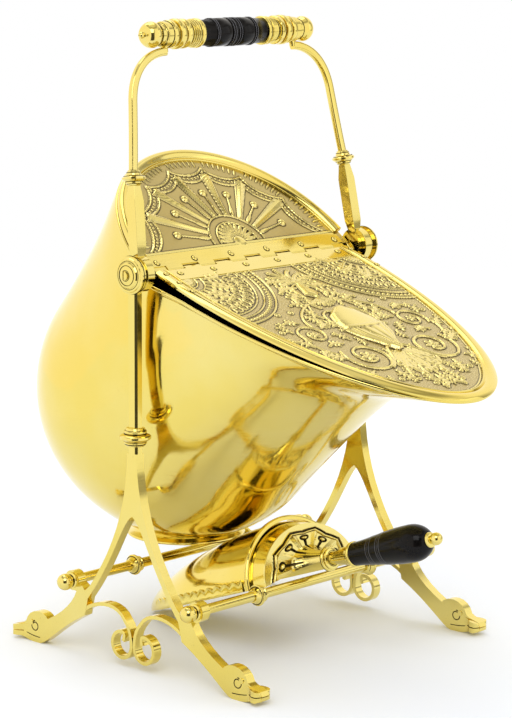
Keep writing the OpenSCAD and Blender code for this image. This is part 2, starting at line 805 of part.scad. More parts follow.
// Centre line of one scallop, which sags towards the hub
function scallop_line(k, back) =
    let (a = fan_corner(k, back), b = fan_corner(k + 1, back), sag = -11 * unit(a + b))
    curve(a, a + (b - a) / 4 + sag, b - (b - a) / 4 + sag, b, 6);

// Leaf from radius r to radius far about the origin, along X
module petal(r, far, w) {
    polygon([[r, 0], [far - w / 2, -w / 2], [far, 0], [far - w / 2, w / 2]]);
}

// Low dome of radius r and height h
module dome(r, h) {
    rotate_extrude()
        polygon(concat([[0, 0]], [for (a = [0:15:90]) [r * cos(a), h * sin(a)]]));
}

// Rising-sun fan in relief: rosette, rings, rays, balls on stems and a scalloped border
module hood_ornament() {
    turn = 180 / sectors;
    color(brass)
        in_bucket()
            translate([0, hub_y, sheet_top]) {
                for (r = [ring_r, ring_r - scallop_w])
                    rotate_extrude(angle = 180)
                        translate([r - ridge_w, 0])
                            square([ridge_w, relief_h]);
                rotate_extrude(angle = 180)
                    polygon([for (a = [0:18:90]) [7 * cos(a), relief_h * sin(a)], [0, 0]]);
                linear_extrude(relief_h) {
                    for (k = [0:petals - 1])
                        rotate(180 * (k + 0.5) / petals)
                            petal(8, ring_r - scallop_w - 3, 4);
                    for (k = [0:sectors - 1], back = [scallop_w, 2 * scallop_w])
                        polygon(band(scallop_line(k, back), ridge_w));
                }
                for (k = [1:sectors - 1])
                    rotate([0, 0, k * turn])
                        linear_extrude(1.4 * relief_h)
                            let (far = edge_at(k * turn) - 2 * scallop_w)
                            polygon([[ring_r + 1, -1.6], [far, -5], [far, 5], [ring_r + 1, 1.6]]);
                for (k = [0:sectors - 1])
                    let (a = (k + 0.5) * turn, far = 0.6 * edge_at(a))
                    rotate([0, 0, a]) {
                        translate([ring_r + 1, -0.9, 0])
                            cube([far - ring_r - 4, 1.8, relief_h * 0.8]);
                        translate([far, 0, 0])
                            dome(4.2, 3);
                    }
            }
}

// Rolled band round the rear panel
module hood_band() {
    base = sheet_top;
    start = asin((max(boss_r + 1, strap_at + rear_strap_w + 0.1) + hood_shift) / edge_r);
    color(brass)
        in_bucket()
            translate([0, -hood_shift, 0])
                rotate([0, 0, start])
                    rotate_extrude(angle = 180 - 2 * start, $fn = 128)
                        polygon(concat(
                            [[hood_r - hood_w, base]],
                            [[hood_r - hood_w, base + 1.6], [hood_r - hood_w + 1, base + 2.3],
                                [hood_r - hood_w + 2, base + 1.6]],
                            curve([hood_r - hood_w + 2.4, base + 2], [hood_r - hood_w + 5, base + hood_h],
                                [hood_r + 1, base + hood_h + 2], [hood_r, base], 9)));
}

rear_reach = hood_r - 10;
hinge_half = lid_half - hinge_inset;
knuckle_len = (2 * hinge_half - pass_gap * (knuckles - 1)) / knuckles;

// Row of knuckles with leaves, on every second place from place first
module knuckle_row(first, leaf, bore) {
    for (i = [first:2:knuckles - 1])
        translate([-hinge_half + i * (knuckle_len + pass_gap), 0, 0])
            difference() {
                union() {
                    rotate([0, 90, 0])
                        cylinder(r = knuckle_r, h = knuckle_len, $fn = 32);
                    translate([0, 0, sheet_top])
                        cube([knuckle_len, leaf, knuckle_r - sheet_top]);
                }
                translate([-1, 0, 0])
                    rotate([0, 90, 0])
                        cylinder(r = bore, h = knuckle_len + 2, $fn = 32);
            }
}

// Strap across the rear panel, with its half of the hinge
module rear_strap() {
    color(brass)
        in_bucket() {
            translate([-rear_reach, strap_at, sheet_top])
                cube([2 * rear_reach, rear_strap_w, knuckle_r - sheet_top]);
            knuckle_row(0, strap_at, pin_r);
        }
}

// Domed rivet heads in a row along X, spread over half width reach
module rivet_row(reach) {
    pitch = 2 * reach / (rivets - 1);
    for (i = [0:rivets - 1])
        translate([-reach + i * pitch, 0, 0])
            dome(rivet_r, rivet_r * 0.55, $fn = 32);
}

module rear_rivets() {
    color(brass)
        in_bucket()
            translate([0, strap_at + rear_strap_w * 0.32, knuckle_r])
                rivet_row(rear_reach - rivet_end);
}

// Thin trough under the knuckles that closes the hinge line from below
module hinge_shield() {
    under = -knuckle_r - pass_gap;
    color(brass)
        in_bucket()
            side_plate(2 * (lid_back_half - 3))
                polygon([
                    [strap_at + 4, -0.2], [strap_at + 4, -0.7], [strap_at - 0.4, under - 0.5],
                    [-strap_at, under - 0.5], [-strap_at, under], [strap_at - 0.6, under],
                    [strap_at + 0.4, -0.2]]);
}

module hinge_pin() {
    color(dark_brass)
        in_bucket()
            translate([-hinge_half, 0, 0])
                rotate([0, 90, 0])
                    cylinder(r = pin_r, h = 2 * hinge_half, $fn = 32);
}

// Plate on the flank of the bucket that turns on the pivot bolt
module trunnion(side) {
    trunnion_r = boss_r - 5;
    on_side(side)
    difference() {
        translate([hood_r - 3, 0, pivot_z])
            rotate([0, 90, 0])
                cylinder(r = trunnion_r, h = boss_in - 0.3 - hood_r + 3);
        translate([0, 0, pivot_z])
            rotate([0, 90, 0])
                cylinder(r = bolt_r + run_gap, h = frame_x);
        in_bucket()
            translate([0, -hood_shift, -2 * trunnion_r])
                cylinder(r = hood_r + 0.1, h = 4 * trunnion_r, $fn = 360);
    }
}

module left_trunnion() { color(brass) trunnion(-1); }
module right_trunnion() { color(brass) trunnion(1); }

// ---------------------------------------------------------------- lid

lid_back = 3.6;
lid_back_half = lid_half - 1.5;

// Right half of the lid edge, from the hinge to the tip
lid_edge = concat(
    open_end(curve([lid_back_half, lid_back], [lid_half - 0.6, lid_back + 14],
        [lid_half, lid_wide_at - 22], [lid_half, lid_wide_at], 8)),
    [for (i = [0:22]) lid_at(90 * i / 22, lid_half, lid_len)]);

// Whole lid edge as points in the lid frame, from the right end to the left end
lid_path = concat(
    [for (p = lid_edge) [p[0], -p[1]]],
    [for (i = [len(lid_edge) - 2:-1:0]) [-lid_edge[i][0], -lid_edge[i][1]]]);

// Direction from lid edge point i into the lid
function lid_inward(i) = -1 * path_normal(lid_path, i);

module lid_panel() {
    color(brass)
        in_lid()
            translate([0, 0, -0.2])
                linear_extrude(sheet)
                    polygon([for (i = [0:len(lid_path) - 1]) lid_path[i] + lid_inward(i)]);
}

lid_near = strap_at + front_strap_w;
medallion_x = lid_half - border_w - 1.5;

// Points of a coil from radius r to radius last about a centre, from angle a through a turn
function coil(centre, r, last, a, turn) =
    [for (i = [0:24]) let (t = i / 24)
        centre + (r + (last - r) * t) * [cos(a + turn * t), sin(a + turn * t)]];

// Right half of the flat ornament of the lid, in X and distance from the hinge
module lid_tracery() {
    coil_at = [coil_r + 17, scroll_at];
    translate([medallion_x, lid_near])
        for (r = [medallion_r, medallion_r - 12, medallion_r - 20, 25])
            difference() {
                circle(r, $fn = 128);
                circle(r - 1.8, $fn = 128);
            }
    polygon(band(coil(coil_at, coil_r, 8, -30, 520), 3.2));
    polygon(band(curve([4, scroll_at - 6], [14, scroll_at - 20], [coil_at[0] - coil_r, scroll_at + 14],
        coil_at + [-8, 24], 8), 3.2));
    polygon(band(curve([3, scroll_at + 6], [14, scroll_at + 16], [30, scroll_at + 30], [34, scroll_at + 50], 8), 4));
    polygon(band(curve([3, scroll_at + 6], [4, scroll_at + 26], [16, scroll_at + 40], [13, scroll_at + 66], 8), 3.6));
    polygon(band(curve([6, urn_at - 62], [30, urn_at - 66], [62, urn_at - 32], [58, urn_at + 2], 8), 3));
    for (k = [0:3])
        translate([0, palmette_at])
            rotate(-90 + 24 * k)
                petal(5, 27, 6);
    translate([0, palmette_at + 8])
        polygon([[0, 0], [4, 0], [9.5, 24], [0, 28]]);
}

// Lid ornament in relief: medallions, palmette, urn, scrolls with rosettes and leaves
module lid_ornament() {
    crown_r = (urn_half * urn_half + urn_h * urn_h) / (2 * urn_h);
    urn_side = concat(
        open_end(curve([8, urn_at - 34], [23, urn_at - 36], [urn_half + 1, urn_at - 20],
            [urn_half, urn_at], 6)),
        curve([urn_half, urn_at], [urn_half - 3, urn_at + 20], [9, scroll_at - 12], [3, scroll_at], 8));
    color(brass)
        in_lid()
            mirror([0, 1, 0])
                translate([0, 0, sheet_top]) {
                    linear_extrude(relief_h)
                        intersection() {
                            union() {
                                lid_tracery();
                                mirror([1, 0]) lid_tracery();
                            }
                            polygon([for (i = [0:len(lid_path) - 1])
                                let (p = lid_path[i] + (border_w + 2) * lid_inward(i)) [p[0], -p[1]]]);
                            translate([-lid_half, lid_near + 0.3])
                                square([2 * lid_half, lid_len]);
                        }
                    intersection() {
                        linear_extrude(urn_h)
                            polygon(concat(urn_side, backwards([for (p = urn_side) [-p[0], p[1]]])));
                        translate([0, 0, urn_h - crown_r])
                            rotate([-90, 0, 0])
                                cylinder(r = crown_r, h = lid_len, $fn = 256);
                    }
                    for (sx = [-1, 1])
                        translate([sx * (coil_r + 17), scroll_at, 0])
                            dome(7, 2.4);
                    translate([0, scroll_at, 0])
                        dome(7, 3);
                }
}

// Convex border with an inner bead, swept round the free edge of the lid
module lid_border() {
    base = sheet_top;
    section = concat(
        [[0, -1], [0.9, -1], [0.9, base], [border_w + 1.6, base]],
        [[border_w + 1.6, base + 1], [border_w + 0.9, base + 1.8], [border_w + 0.1, base + 1.8],
            [border_w - 0.6, base + 1]],
        curve([border_w - 1.4, base + 1.2], [border_w * 0.7, base + border_h + 0.6],
            [border_w * 0.3, base + border_h + 0.6], [0, base], 6));
    color(brass)
        in_lid()
            loft([for (i = [len(lid_path) - 1:-1:0])
                let (p = lid_path[i], n = lid_inward(i))
                [for (s = section) [p[0] + n[0] * s[0], p[1] + n[1] * s[0], s[1]]]]);
}

front_reach = lid_back_half - border_w - 2.2;

// Strap across the lid, with its half of the hinge
module front_strap() {
    color(brass)
        in_lid() {
            translate([-front_reach, -strap_at - front_strap_w, sheet_top])
                cube([2 * front_reach, front_strap_w, knuckle_r - sheet_top]);
            mirror([0, 1, 0])
                knuckle_row(1, strap_at, pin_r + run_gap);
        }
}

// Rivets of the front strap and of both ends of the lid border
module front_rivets() {
    color(brass)
        in_lid() {
            translate([0, -strap_at - front_strap_w * 0.42, knuckle_r])
                rivet_row(front_reach - rivet_end);
            for (sx = [-1, 1], k = [0:2])
                translate([sx * (lid_half - border_w / 2 - 0.4), -border_rivet_at - k * border_pitch,
                    sheet_top + border_h])
                    dome(rivet_r * 0.8, rivet_r * 0.5, $fn = 32);
        }
}

// ---------------------------------------------------------------- shovel

seat_z = crossbar_z + crossbar_d / 2 + 0.3;
shovel_slope = asin((seat_z - tip_z) / scoop_len);
seat_y = crossbar_y - 1.5;

// Frame of the shovel: Y runs from the back plate to the tip, Z is away from the open side
module in_shovel() {
    translate([0, -seat_y, seat_z])
        rotate([-shovel_slope, 0, 0])
            children();
}

function scoop_w_at(y) = scoop_half * pow(max(1 - pow(y / scoop_len, 3), 0), 0.75);
function scoop_h_at(y) = scoop_h * pow(max(1 - pow(y / scoop_len, 2.2), 0), 0.75);

scoop_round = 24;
scoop_steps = [0, 12, 24, 40, 56, 72, 88, 104, 118, 132, 145, 157, 168, 178, 187, 195, 202, 208, 214, 219];
plate_t = 1.6;

// Arch of the scoop at distance y, drawn in by t
function arch(y, t) =
    [for (i = [0:scoop_round]) let (a = 180 * i / scoop_round)
        [(scoop_w_at(y) - t) * cos(a), y, max((scoop_h_at(y) - t) * sin(a), 0)]];

module scoop_shell() {
    far = scoop_len / 224;
    color(brass)
        in_shovel()
            translate([0, plate_t, 0])
                loft([for (s = scoop_steps) let (y = s * far)
                    concat(backwards(arch(y, 0)), arch(y, scoop_wall))], thin = true);
}

// Back plate: flat D rim with a raised fan of lobes that swells out to the hub
module scoop_plate() {
    rim = 13;
    fan_steps = 8;
    rays = fan_lobes * 8;
    color(brass)
        in_shovel() {
            intersection() {
                rotate([90, 0, 0])
                    translate([0, 0, -plate_t])
                        linear_extrude(plate_t)
                            scale([scoop_half / scoop_h, 1])
                                circle(scoop_h, $fn = 96);
                translate([-scoop_half, -1, 0])
                    cube([2 * scoop_half, plate_t + 2, scoop_h]);
            }
            loft(concat([for (k = [0:fan_steps])
                let (t = k / fan_steps)
                [for (i = [0:rays]) let (a = 180 * i / rays,
                    lobe = 1 - 0.14 * t * pow(abs(cos(fan_lobes * a)), 3),
                    w = (8 + (scoop_half - rim - 8) * t) * lobe,
                    h = (8 + (scoop_h - rim - fan_z + 4) * t) * lobe)
                    [w * cos(a), -0.4 - fan_out * pow(1 - t, 1.25),
                        fan_z * (1 - t) + 0.6 + h * sin(a)]]]));
            translate([0, 0, fan_z])
                rotate([90, 0, 0])
                    cylinder(r = 8, h = fan_out + 1.2);
        }
}

// Half-round hoop over the scoop, with a foot at each side edge
module scoop_hoop() {
    hoop_w = 5;
    color(brass)
        in_shovel()
            translate([0, hoop_at, 0])
                loft([for (y = [-hoop_w / 2, -1.4, 0, 1.4, hoop_w / 2])
                    let (t = 0.8 + 2 * sqrt(max(1 - pow(2 * y / hoop_w, 2), 0)))
                    concat(
                        [for (i = [36:-1:0]) let (a = 180 * i / 36)
                            [(scoop_half + t) * cos(a), y, (scoop_h + t) * sin(a)]],
                        [for (i = [0:36]) let (a = 180 * i / 36)
                            [(scoop_half + 0.05) * cos(a), y, (scoop_h + 0.05) * sin(a)]])], thin = true);
}

// Scalloped strips along both side edges of the scoop
module scoop_strips() {
    strip_h = 11;
    scallop = 12;
    color(brass)
        in_shovel()
            for (sx = [-1, 1])
                on_side(sx)
                    loft([for (s = [30:3:180])
                        let (y = s * scoop_len / 224, w = scoop_w_at(y - plate_t), h = scoop_h_at(y - plate_t),
                            top = strip_h * (0.72 + 0.28 * abs(sin(180 * s / scallop)))
                                * min(1, h / 30))
                        concat(
                            [for (k = [0:4]) let (a = asin(min(top * k / 4 / h, 1)))
                                [(w + 1.1) * cos(a), y, (h + 1.1) * sin(a)]],
                            [for (k = [4:-1:0]) let (a = asin(min(top * k / 4 / h, 1)))
                                [(w + 0.1) * cos(a), y, (h + 0.1) * sin(a)]])]);
}

// Frame of the handle: X runs from the fan hub to the handle's end
module along_handle() {
    in_shovel()
        translate([0, -fan_out - 1.2, fan_z])
            rotate([handle_bend, 0, 0])
                rotate([0, 0, -90])
                    children();
}

tang_r = 3;

module shovel_ferrule() {
    n = ferrule_len;
    color(brass)
        along_handle()
            turned(concat(
                [[0.4, tang_r], [0.4, 8.6], [1.4, 9.4], [2.8, 9.4], [3.6, 8.4], [5, 6.8]],
                curve([6, 6.2], [n * 0.4, 4.8], [n * 0.55, 5.2], [n * 0.68, 6.4], 7),
                [[n * 0.7, 7.6], [n * 0.76, 8.4], [n * 0.8, 7.4], [n * 0.84, 9.4], [n - 1, 10],
                    [n, 9.6], [n, tang_r]]));
}

module shovel_tang() {
    color(dark_brass)
        along_handle()
            turned([[0.4, 0], [0.4, tang_r], [ferrule_len + handle_len, tang_r],
                [ferrule_len + handle_len, 0]]);
}

// Radius of the black handle at a share t of its length, with two groups of fine grooves
function handle_radius(t) =
    let (x = t * handle_len, swell = 9.6 + (handle_r - 9.6) * pow(sin(min(t / 0.78, 1) * 90), 1.5),
        cut = min(abs(x - 10), abs(x - 13), abs(x - 52), abs(x - 55)) < 0.5 ? 0.8 : 0)
    t < 0.78 ? swell - cut : handle_r * sqrt(max(1 - pow((t - 0.78) / 0.235, 2), 0));

module shovel_handle() {
    color(ebony)
        along_handle()
            translate([ferrule_len, 0, 0])
                turned(concat(
                    [[0, tang_r]],
                    [for (x = [0:1:handle_len]) [x, max(handle_radius(x / handle_len), 5)]],
                    [[handle_len, tang_r]]));
}

// Cup and ball that close the handle
module shovel_end_cap() {
    color(brass)
        along_handle()
            translate([ferrule_len + handle_len, 0, 0])
                turned(concat(
                    [[0, 0], [0, 6.6], [1, 7.2], [2.2, 7], [3, 5.6], [3.8, 3.6]],
                    [for (a = [-50:20:90]) [3.6 + ball_r * (0.8 + sin(a)), ball_r * cos(a)]]));
}

// ---------------------------------------------------------------- assembly

left_frame();
right_frame();
left_post_collar();
right_post_collar();
left_scrolls();
right_scrolls();
front_crossbar();
rear_crossbar();
crossbar_knops();
crossbar_finials();
left_pivot_bolt();
right_pivot_bolt();
left_bail_arm();
right_bail_arm();
left_bail_collar();
right_bail_collar();
left_bail_bow();
right_bail_bow();
grip_tie_rod();
black_grip();
left_grip_ferrule();
right_grip_ferrule();
left_grip_bell();
right_grip_bell();
bucket_bottom();
bucket_barrel();
foot_ring();
hood_panel();
hood_ornament();
hood_band();
rear_strap();
rear_rivets();
hinge_shield();
hinge_pin();
left_trunnion();
right_trunnion();
lid_panel();
lid_ornament();
lid_border();
front_strap();
front_rivets();
scoop_shell();
scoop_plate();
scoop_hoop();
scoop_strips();
shovel_ferrule();
shovel_tang();
shovel_handle();
shovel_end_cap();
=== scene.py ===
"""Looks of the brass coal scuttle: finish, embossed panels, studio and camera.

Sizes are in millimetres as in the part's source; MM turns them into the frame's metres.
"""

import json
import math

import bmesh
import bpy
import numpy as np
from mathutils import Matrix, Vector

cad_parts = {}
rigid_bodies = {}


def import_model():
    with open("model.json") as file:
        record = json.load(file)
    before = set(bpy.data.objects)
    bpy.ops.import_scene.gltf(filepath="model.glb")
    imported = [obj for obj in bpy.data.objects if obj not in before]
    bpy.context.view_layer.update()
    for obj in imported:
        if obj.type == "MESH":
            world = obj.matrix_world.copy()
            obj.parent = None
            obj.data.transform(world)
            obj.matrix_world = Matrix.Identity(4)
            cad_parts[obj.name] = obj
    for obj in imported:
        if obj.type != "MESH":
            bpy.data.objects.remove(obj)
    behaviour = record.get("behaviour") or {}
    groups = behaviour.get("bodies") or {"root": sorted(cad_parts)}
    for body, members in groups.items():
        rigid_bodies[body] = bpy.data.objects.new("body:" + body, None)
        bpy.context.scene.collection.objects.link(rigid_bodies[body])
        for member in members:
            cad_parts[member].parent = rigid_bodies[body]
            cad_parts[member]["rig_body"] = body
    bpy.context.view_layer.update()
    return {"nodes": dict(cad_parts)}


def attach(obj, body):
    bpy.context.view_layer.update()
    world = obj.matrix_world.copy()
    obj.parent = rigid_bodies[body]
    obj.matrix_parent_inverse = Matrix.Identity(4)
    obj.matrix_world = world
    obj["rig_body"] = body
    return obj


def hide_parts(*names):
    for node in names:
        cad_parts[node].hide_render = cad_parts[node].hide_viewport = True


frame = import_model()

MM = 0.001

# ---- driving sizes

PIVOT_Z = 370.0
BODY_TILT = 40.0
LID_SLOPE = 20.0
BEND = math.radians(BODY_TILT - LID_SLOPE)

BODY_R = 146.0
BODY_DROP = 159.6
BODY_SHIFT = 18.0
HOOD_R = 142.0
HOOD_SHIFT = -2.0
WALL = 1.3
WIRE_R = 1.8
FRONT_FULL = 1.05
FRONT_LEAN = 19.5
REAR_RUN = 27.0
LIP_RUN = 74.0
LIP_RISE = 2.97
UPRIGHT = 0.79
RIM_GAP = 7.0
RIM_SIDE = 0.2
HOOD_W = 12.5
HOOD_H = 6.5

LID_LEN = 292.0
LID_HALF = 135.0
LID_WIDE_AT = 45.0
LID_ROUND = 1.036
LID_BACK = 3.6
BORDER_W = 13.0
BORDER_H = 2.4
SHEET = 1.0
BASE = SHEET - 0.2
STRAP_AT = 3.8
REAR_STRAP_W = 14.0
FRONT_STRAP_W = 19.0

SCOOP_LEN = 224.0
SCOOP_HALF = 65.0
SCOOP_H = 56.0
SCOOP_WALL = 1.4
PLATE_T = 1.6
PLATE_H = 49.0
HOOP_AT = 21.0
HOOP_W = 5.0
FAN_Z = 10.6
FAN_OUT = 23.0
FAN_LOBES = 5
HUB_R = 8.0
SEAT_Y = 80.0
SEAT_Z = 75.95
TIP_Z = 1.0
STRIP_H = 11.0
SCALLOP = 12.0
HANDLE_BEND = 1.5
FERRULE_LEN = 36.0
HANDLE_LEN = 92.0
HANDLE_R = 17.6
HANDLE_START = 11.2

FRAME_X = 156.0
FRAME_T = 9.5
FRAME_OUT = FRAME_X + FRAME_T / 2
EYE_Y = 134.0
EYE_Z = 16.0
COLLAR_Z = 220.5
CROSSBAR_Y = 81.5
CROSSBAR_Z = 70.9
KNOP_X = 79.0

BAIL_LEAN = 8.7
GRIP_V = 215.2
GRIP_HALF = 43.0
JOINT_V = 87.0
JOINT_X = 144.3
BOSS_X = 150.85
ARM_TILT = math.atan((BOSS_X - JOINT_X) / JOINT_V)
SADDLE_X = GRIP_HALF + 44
BOW_W = 8.0
BOW_D = 6.5
BOW_START = 7.0
BOW_ROUND = 0.62
STUD_R = 2.9

HINGE_HALF = 115.0
REAR_REACH = 132.0
FRONT_REACH = 118.3
KNUCKLE_R = 2.0
RIVETS = 6
RIVET_END = 9.0
RIVET_R = 3.0
BORDER_RIVET_AT = 12.0
BORDER_PITCH = 18.0
# Width of the dark rings of painted shade in grooves and round rivets.
SHADE_LINE_W = 0.32

SIDES = ((-1, "left"), (1, "right"))


def rotation(degrees, axis):
    """Turn about an axis through the origin."""
    return Matrix.Rotation(math.radians(degrees), 4, axis)


def placed(x, y, z, tilt):
    """Frame at a point in millimetres, turned about X by tilt degrees."""
    return Matrix.Translation(Vector((x, y, z)) * MM) @ rotation(tilt, "X")


IN_WORLD = Matrix.Identity(4)
IN_BUCKET = placed(0, 0, PIVOT_Z, BODY_TILT)
IN_LID = placed(0, 0, PIVOT_Z, LID_SLOPE)
IN_BAIL = placed(0, 0, PIVOT_Z, -BAIL_LEAN)
IN_GRIP = IN_BAIL @ placed(0, 0, GRIP_V, 0)
IN_SHOVEL = placed(0, -SEAT_Y, SEAT_Z, -math.degrees(math.asin((SEAT_Z - TIP_Z) / SCOOP_LEN)))
IN_HANDLE = IN_SHOVEL @ placed(0, -FAN_OUT - 1.2, FAN_Z, HANDLE_BEND) @ rotation(-90, "Z")
PLACES = {"stand": IN_WORLD, "bucket": IN_BUCKET, "lid": IN_LID, "bail": IN_BAIL, "shovel": IN_SHOVEL}


# ---- materials


class Nodes:
    """Short way to write the node tree of a material or of the world."""

    def __init__(self, owner):
        self.owner = owner
        owner.use_nodes = True
        self.tree = owner.node_tree
        self.shader = self.tree.nodes.get("Principled BSDF")
        self.coords = self.add("ShaderNodeTexCoord").outputs["Object"]

    def add(self, kind, links=(), **settings):
        node = self.tree.nodes.new(kind)
        for key, value in settings.items():
            if key in node.inputs:
                node.inputs[key].default_value = value
            else:
                setattr(node, key, value)
        for socket, source in dict(links).items():
            self.feed(node.inputs[socket], source)
        return node

    def noise(self, scale, detail, roughness=0.5, stretch=None):
        source = self.coords
        if stretch:
            source = self.add("ShaderNodeMapping", {"Vector": source}, Scale=stretch).outputs["Vector"]
        return self.add("ShaderNodeTexNoise", {"Vector": source}, Scale=scale, Detail=detail,
                        Roughness=roughness).outputs["Fac"]

    # Value on a piece's points of painted shade and highlights, or of painted glints on ebony.
    def relief(self):
        return self.add("ShaderNodeAttribute", attribute_name="relief").outputs["Fac"]

    def ramp(self, fac, *stops):
        """Colour ramp through stops of (position, colour)."""
        node = self.add("ShaderNodeValToRGB", {"Fac": fac})
        elements = node.color_ramp.elements
        for k, (position, colour) in enumerate(stops):
            stop = elements[k] if k < 2 else elements.new(position)
            stop.position, stop.color = position, (*colour, 1)
        return node.outputs["Color"]

    def span(self, value, low, high, start, end):
        node = self.add("ShaderNodeMapRange", {"Value": value})
        for key, number in zip(("From Min", "From Max", "To Min", "To Max"), (low, high, start, end)):
            node.inputs[key].default_value = number
        return node.outputs["Result"]

    def mix(self, fac, a, b, blend="MIX"):
        node = self.add("ShaderNodeMix", data_type="RGBA", blend_type=blend)
        colours = [s for s in node.inputs if s.type == "RGBA"]
        for socket, value in zip([node.inputs[0], *colours], (fac, a, b)):
            self.feed(socket, value)
        return next(s for s in node.outputs if s.type == "RGBA")

    def feed(self, socket, value):
        """Links an output to a socket, or gives the socket a value."""
        if hasattr(value, "links"):
            self.tree.links.new(value, socket)
        else:
            socket.default_value = (*value, 1) if socket.type == "RGBA" else value

    def bump(self, height, strength, distance, below=None):
        node = self.add("ShaderNodeBump", {"Height": height}, Strength=strength, Distance=distance * MM)
        if below:
            self.feed(node.inputs["Normal"], below)
        return node.outputs["Normal"]

    def finish(self, colour, polish, normal=None, metallic=1.0):
        """The material itself, with these inputs of its shader."""
        inputs = {"Base Color": colour, "Roughness": polish, "Normal": normal, "Metallic": metallic}
        for key, value in inputs.items():
            if value is not None:
                self.feed(self.shader.inputs[key], value)
        return self.owner


def material(name):
    """Nodes of a new material."""
    return Nodes(bpy.data.materials.new(name))


BRASS = (0.82, 0.69, 0.23)
WARM_BRASS = (0.81, 0.65, 0.155)
TARNISH = (0.42, 0.30, 0.09)
GROUND = (0.60, 0.48, 0.19)
# Near-black of the painted shade in the hollows of the embossing.
HOLLOW_SHADE = (0.05, 0.036, 0.012)
# Light grey of the painted glints on the crests of turned ebony.
EBONY_GLINT = (0.22, 0.22, 0.24)


def polished_brass(name, wave=0.35, pits=0.06, rough=0.07):
    """Mirror-polished brass with a warm cloudy tone, soft waves, hairlines and a few dull specks."""
    n = material(name)
    cloud = n.ramp(n.noise(9, 4), (0.38, WARM_BRASS), (0.68, BRASS))
    specks = n.span(n.noise(420, 2), 0.72, 0.78, 0, 0.35)
    colour = n.mix(specks, cloud, TARNISH)
    hairlines = n.noise(40, 4, 0.6, stretch=(1, 1, 22))
    polish = n.span(hairlines, 0.3, 0.75, rough, rough + 0.11)
    waves = n.bump(n.noise(24, 1.5), wave, 1.2)
    scratches = n.bump(n.noise(900, 2), pits, 0.05, waves)
    return n.finish(colour, polish, scratches)


def embossed_brass():
    """Stamped brass: painted shade in the hollows, painted highlights on the high places, and a stippled
    ground.
    """
    n = material("embossed_brass")
    relief = n.relief()
    blotch = n.ramp(n.noise(16, 4), (0.35, GROUND), (0.7, BRASS))
    # Painted highlight: the high places take the full brass colour.
    high = n.mix(n.span(relief, 0.45, 0.62, 0, 1), blotch, BRASS)
    # Painted shade: the hollows fall through the ground's colour to near black.
    hollow_shade = n.ramp(relief, (0.10, HOLLOW_SHADE), (0.40, GROUND), (0.6, (1, 1, 1)))
    colour = n.mix(n.span(relief, 0.3, 0.6, 0, 1), hollow_shade, high)
    polish = n.span(relief, 0.3, 0.7, 0.34, 0.14)
    stipple = n.bump(n.noise(1100, 2), 0.35, 0.16)
    return n.finish(colour, polish, stipple)


def inner_brass():
    """Dull, sooty inside of the bucket."""
    n = material("inner_brass")
    colour = n.ramp(n.noise(12, 5), (0.3, (0.07, 0.045, 0.015)), (0.75, (0.24, 0.15, 0.05)))
    polish = n.span(n.noise(60, 3), 0.3, 0.7, 0.35, 0.6)
    soot = n.bump(n.noise(400, 3), 0.3, 0.2)
    return n.finish(colour, polish, soot)


def ebony():
    """Black turned wood under a glossy polish, with faint grain and painted glints on the marked crests."""
    n = material("ebony")
    grain = n.noise(30, 5, 0.6, stretch=(1, 14, 14))
    wood = n.ramp(grain, (0.3, (0.002, 0.002, 0.002)), (0.75, (0.009, 0.007, 0.006)))
    # Painted glints: the marked crests turn light grey.
    colour = n.mix(n.span(n.relief(), 0.4, 0.9, 0, 1), wood, EBONY_GLINT)
    polish = n.span(n.noise(120, 3), 0.35, 0.7, 0.10, 0.24)
    n.shader.inputs["Specular IOR Level"].default_value = 0.14
    return n.finish(colour, polish, n.bump(grain, 0.12, 0.15), metallic=0.0)


def gap_shade_and_line_brass():
    """Near-black brass for painted shade in grooves, gaps and round rivet heads, and for the eye and mouth
    lines of the feet.
    """
    n = material("gap_shade_and_line_brass")
    colour = n.ramp(n.noise(300, 3), (0.35, (0.02, 0.014, 0.005)), (0.75, (0.10, 0.07, 0.02)))
    polish = n.span(n.noise(500, 2), 0.3, 0.7, 0.45, 0.65)
    return n.finish(colour, polish)


MATERIALS = {
    "brass": polished_brass("brass"),
    "bucket": polished_brass("bucket_brass", wave=0.55, pits=0.05, rough=0.05),
    "steel": polished_brass("pin_brass", wave=0.1, pits=0.15, rough=0.2),
    "embossed": embossed_brass(),
    "inside": inner_brass(),
    "ebony": ebony(),
    # Near-black for painted shade in grooves, gaps and round rivets, and for the feet's eye and mouth
    # lines.
    "engraved": gap_shade_and_line_brass(),
}


# ---- mesh helpers


def around(count):
    """Angles of a full turn, in radians."""
    return np.linspace(0, 2 * math.pi, count + 1)[:-1]


def add_object(name, data):
    """Object of a mesh, light or camera, put in the scene."""
    thing = bpy.data.objects.new(name, data)
    bpy.context.scene.collection.objects.link(thing)
    return thing


dressed = set()


def dress(mesh, name, body, finish, nodes, sharp):
    """Object of a mesh with a finish and smooth faces, riding on a body and standing for CAD nodes."""
    mesh.materials.append(MATERIALS[finish])
    soften(mesh, sharp)
    piece = add_object(name, mesh)
    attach(piece, body)
    if nodes:
        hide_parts(*nodes)
        dressed.update(nodes)
    return piece


def new_piece(name, verts, faces, body, finish, nodes=(), place=None, sharp=45):
    """Mesh piece from points in millimetres in the frame of its body or of a place."""
    mesh = bpy.data.meshes.new(name)
    turn = np.array(PLACES[body] if place is None else place)
    points = np.asarray(verts, float).reshape(-1, 3) * MM @ turn[:3, :3].T + turn[:3, 3]
    mesh.from_pydata(points.tolist(), [], faces)
    mesh.update()
    return dress(mesh, name, body, finish, nodes, sharp)


def paint_light_and_shade(piece, values):
    """Gives the points of a piece the value that its material reads as relief: painted shade and highlights
    on embossed brass, painted glints on ebony.
    """
    piece.data.attributes.new("relief", "FLOAT", "POINT").data.foreach_set("value", values)


def soften(mesh, sharp):
    """Smooth shading, with edges sharper than the angle left crisp."""
    mesh.shade_smooth()
    mesh.set_sharp_from_angle(angle=math.radians(sharp))


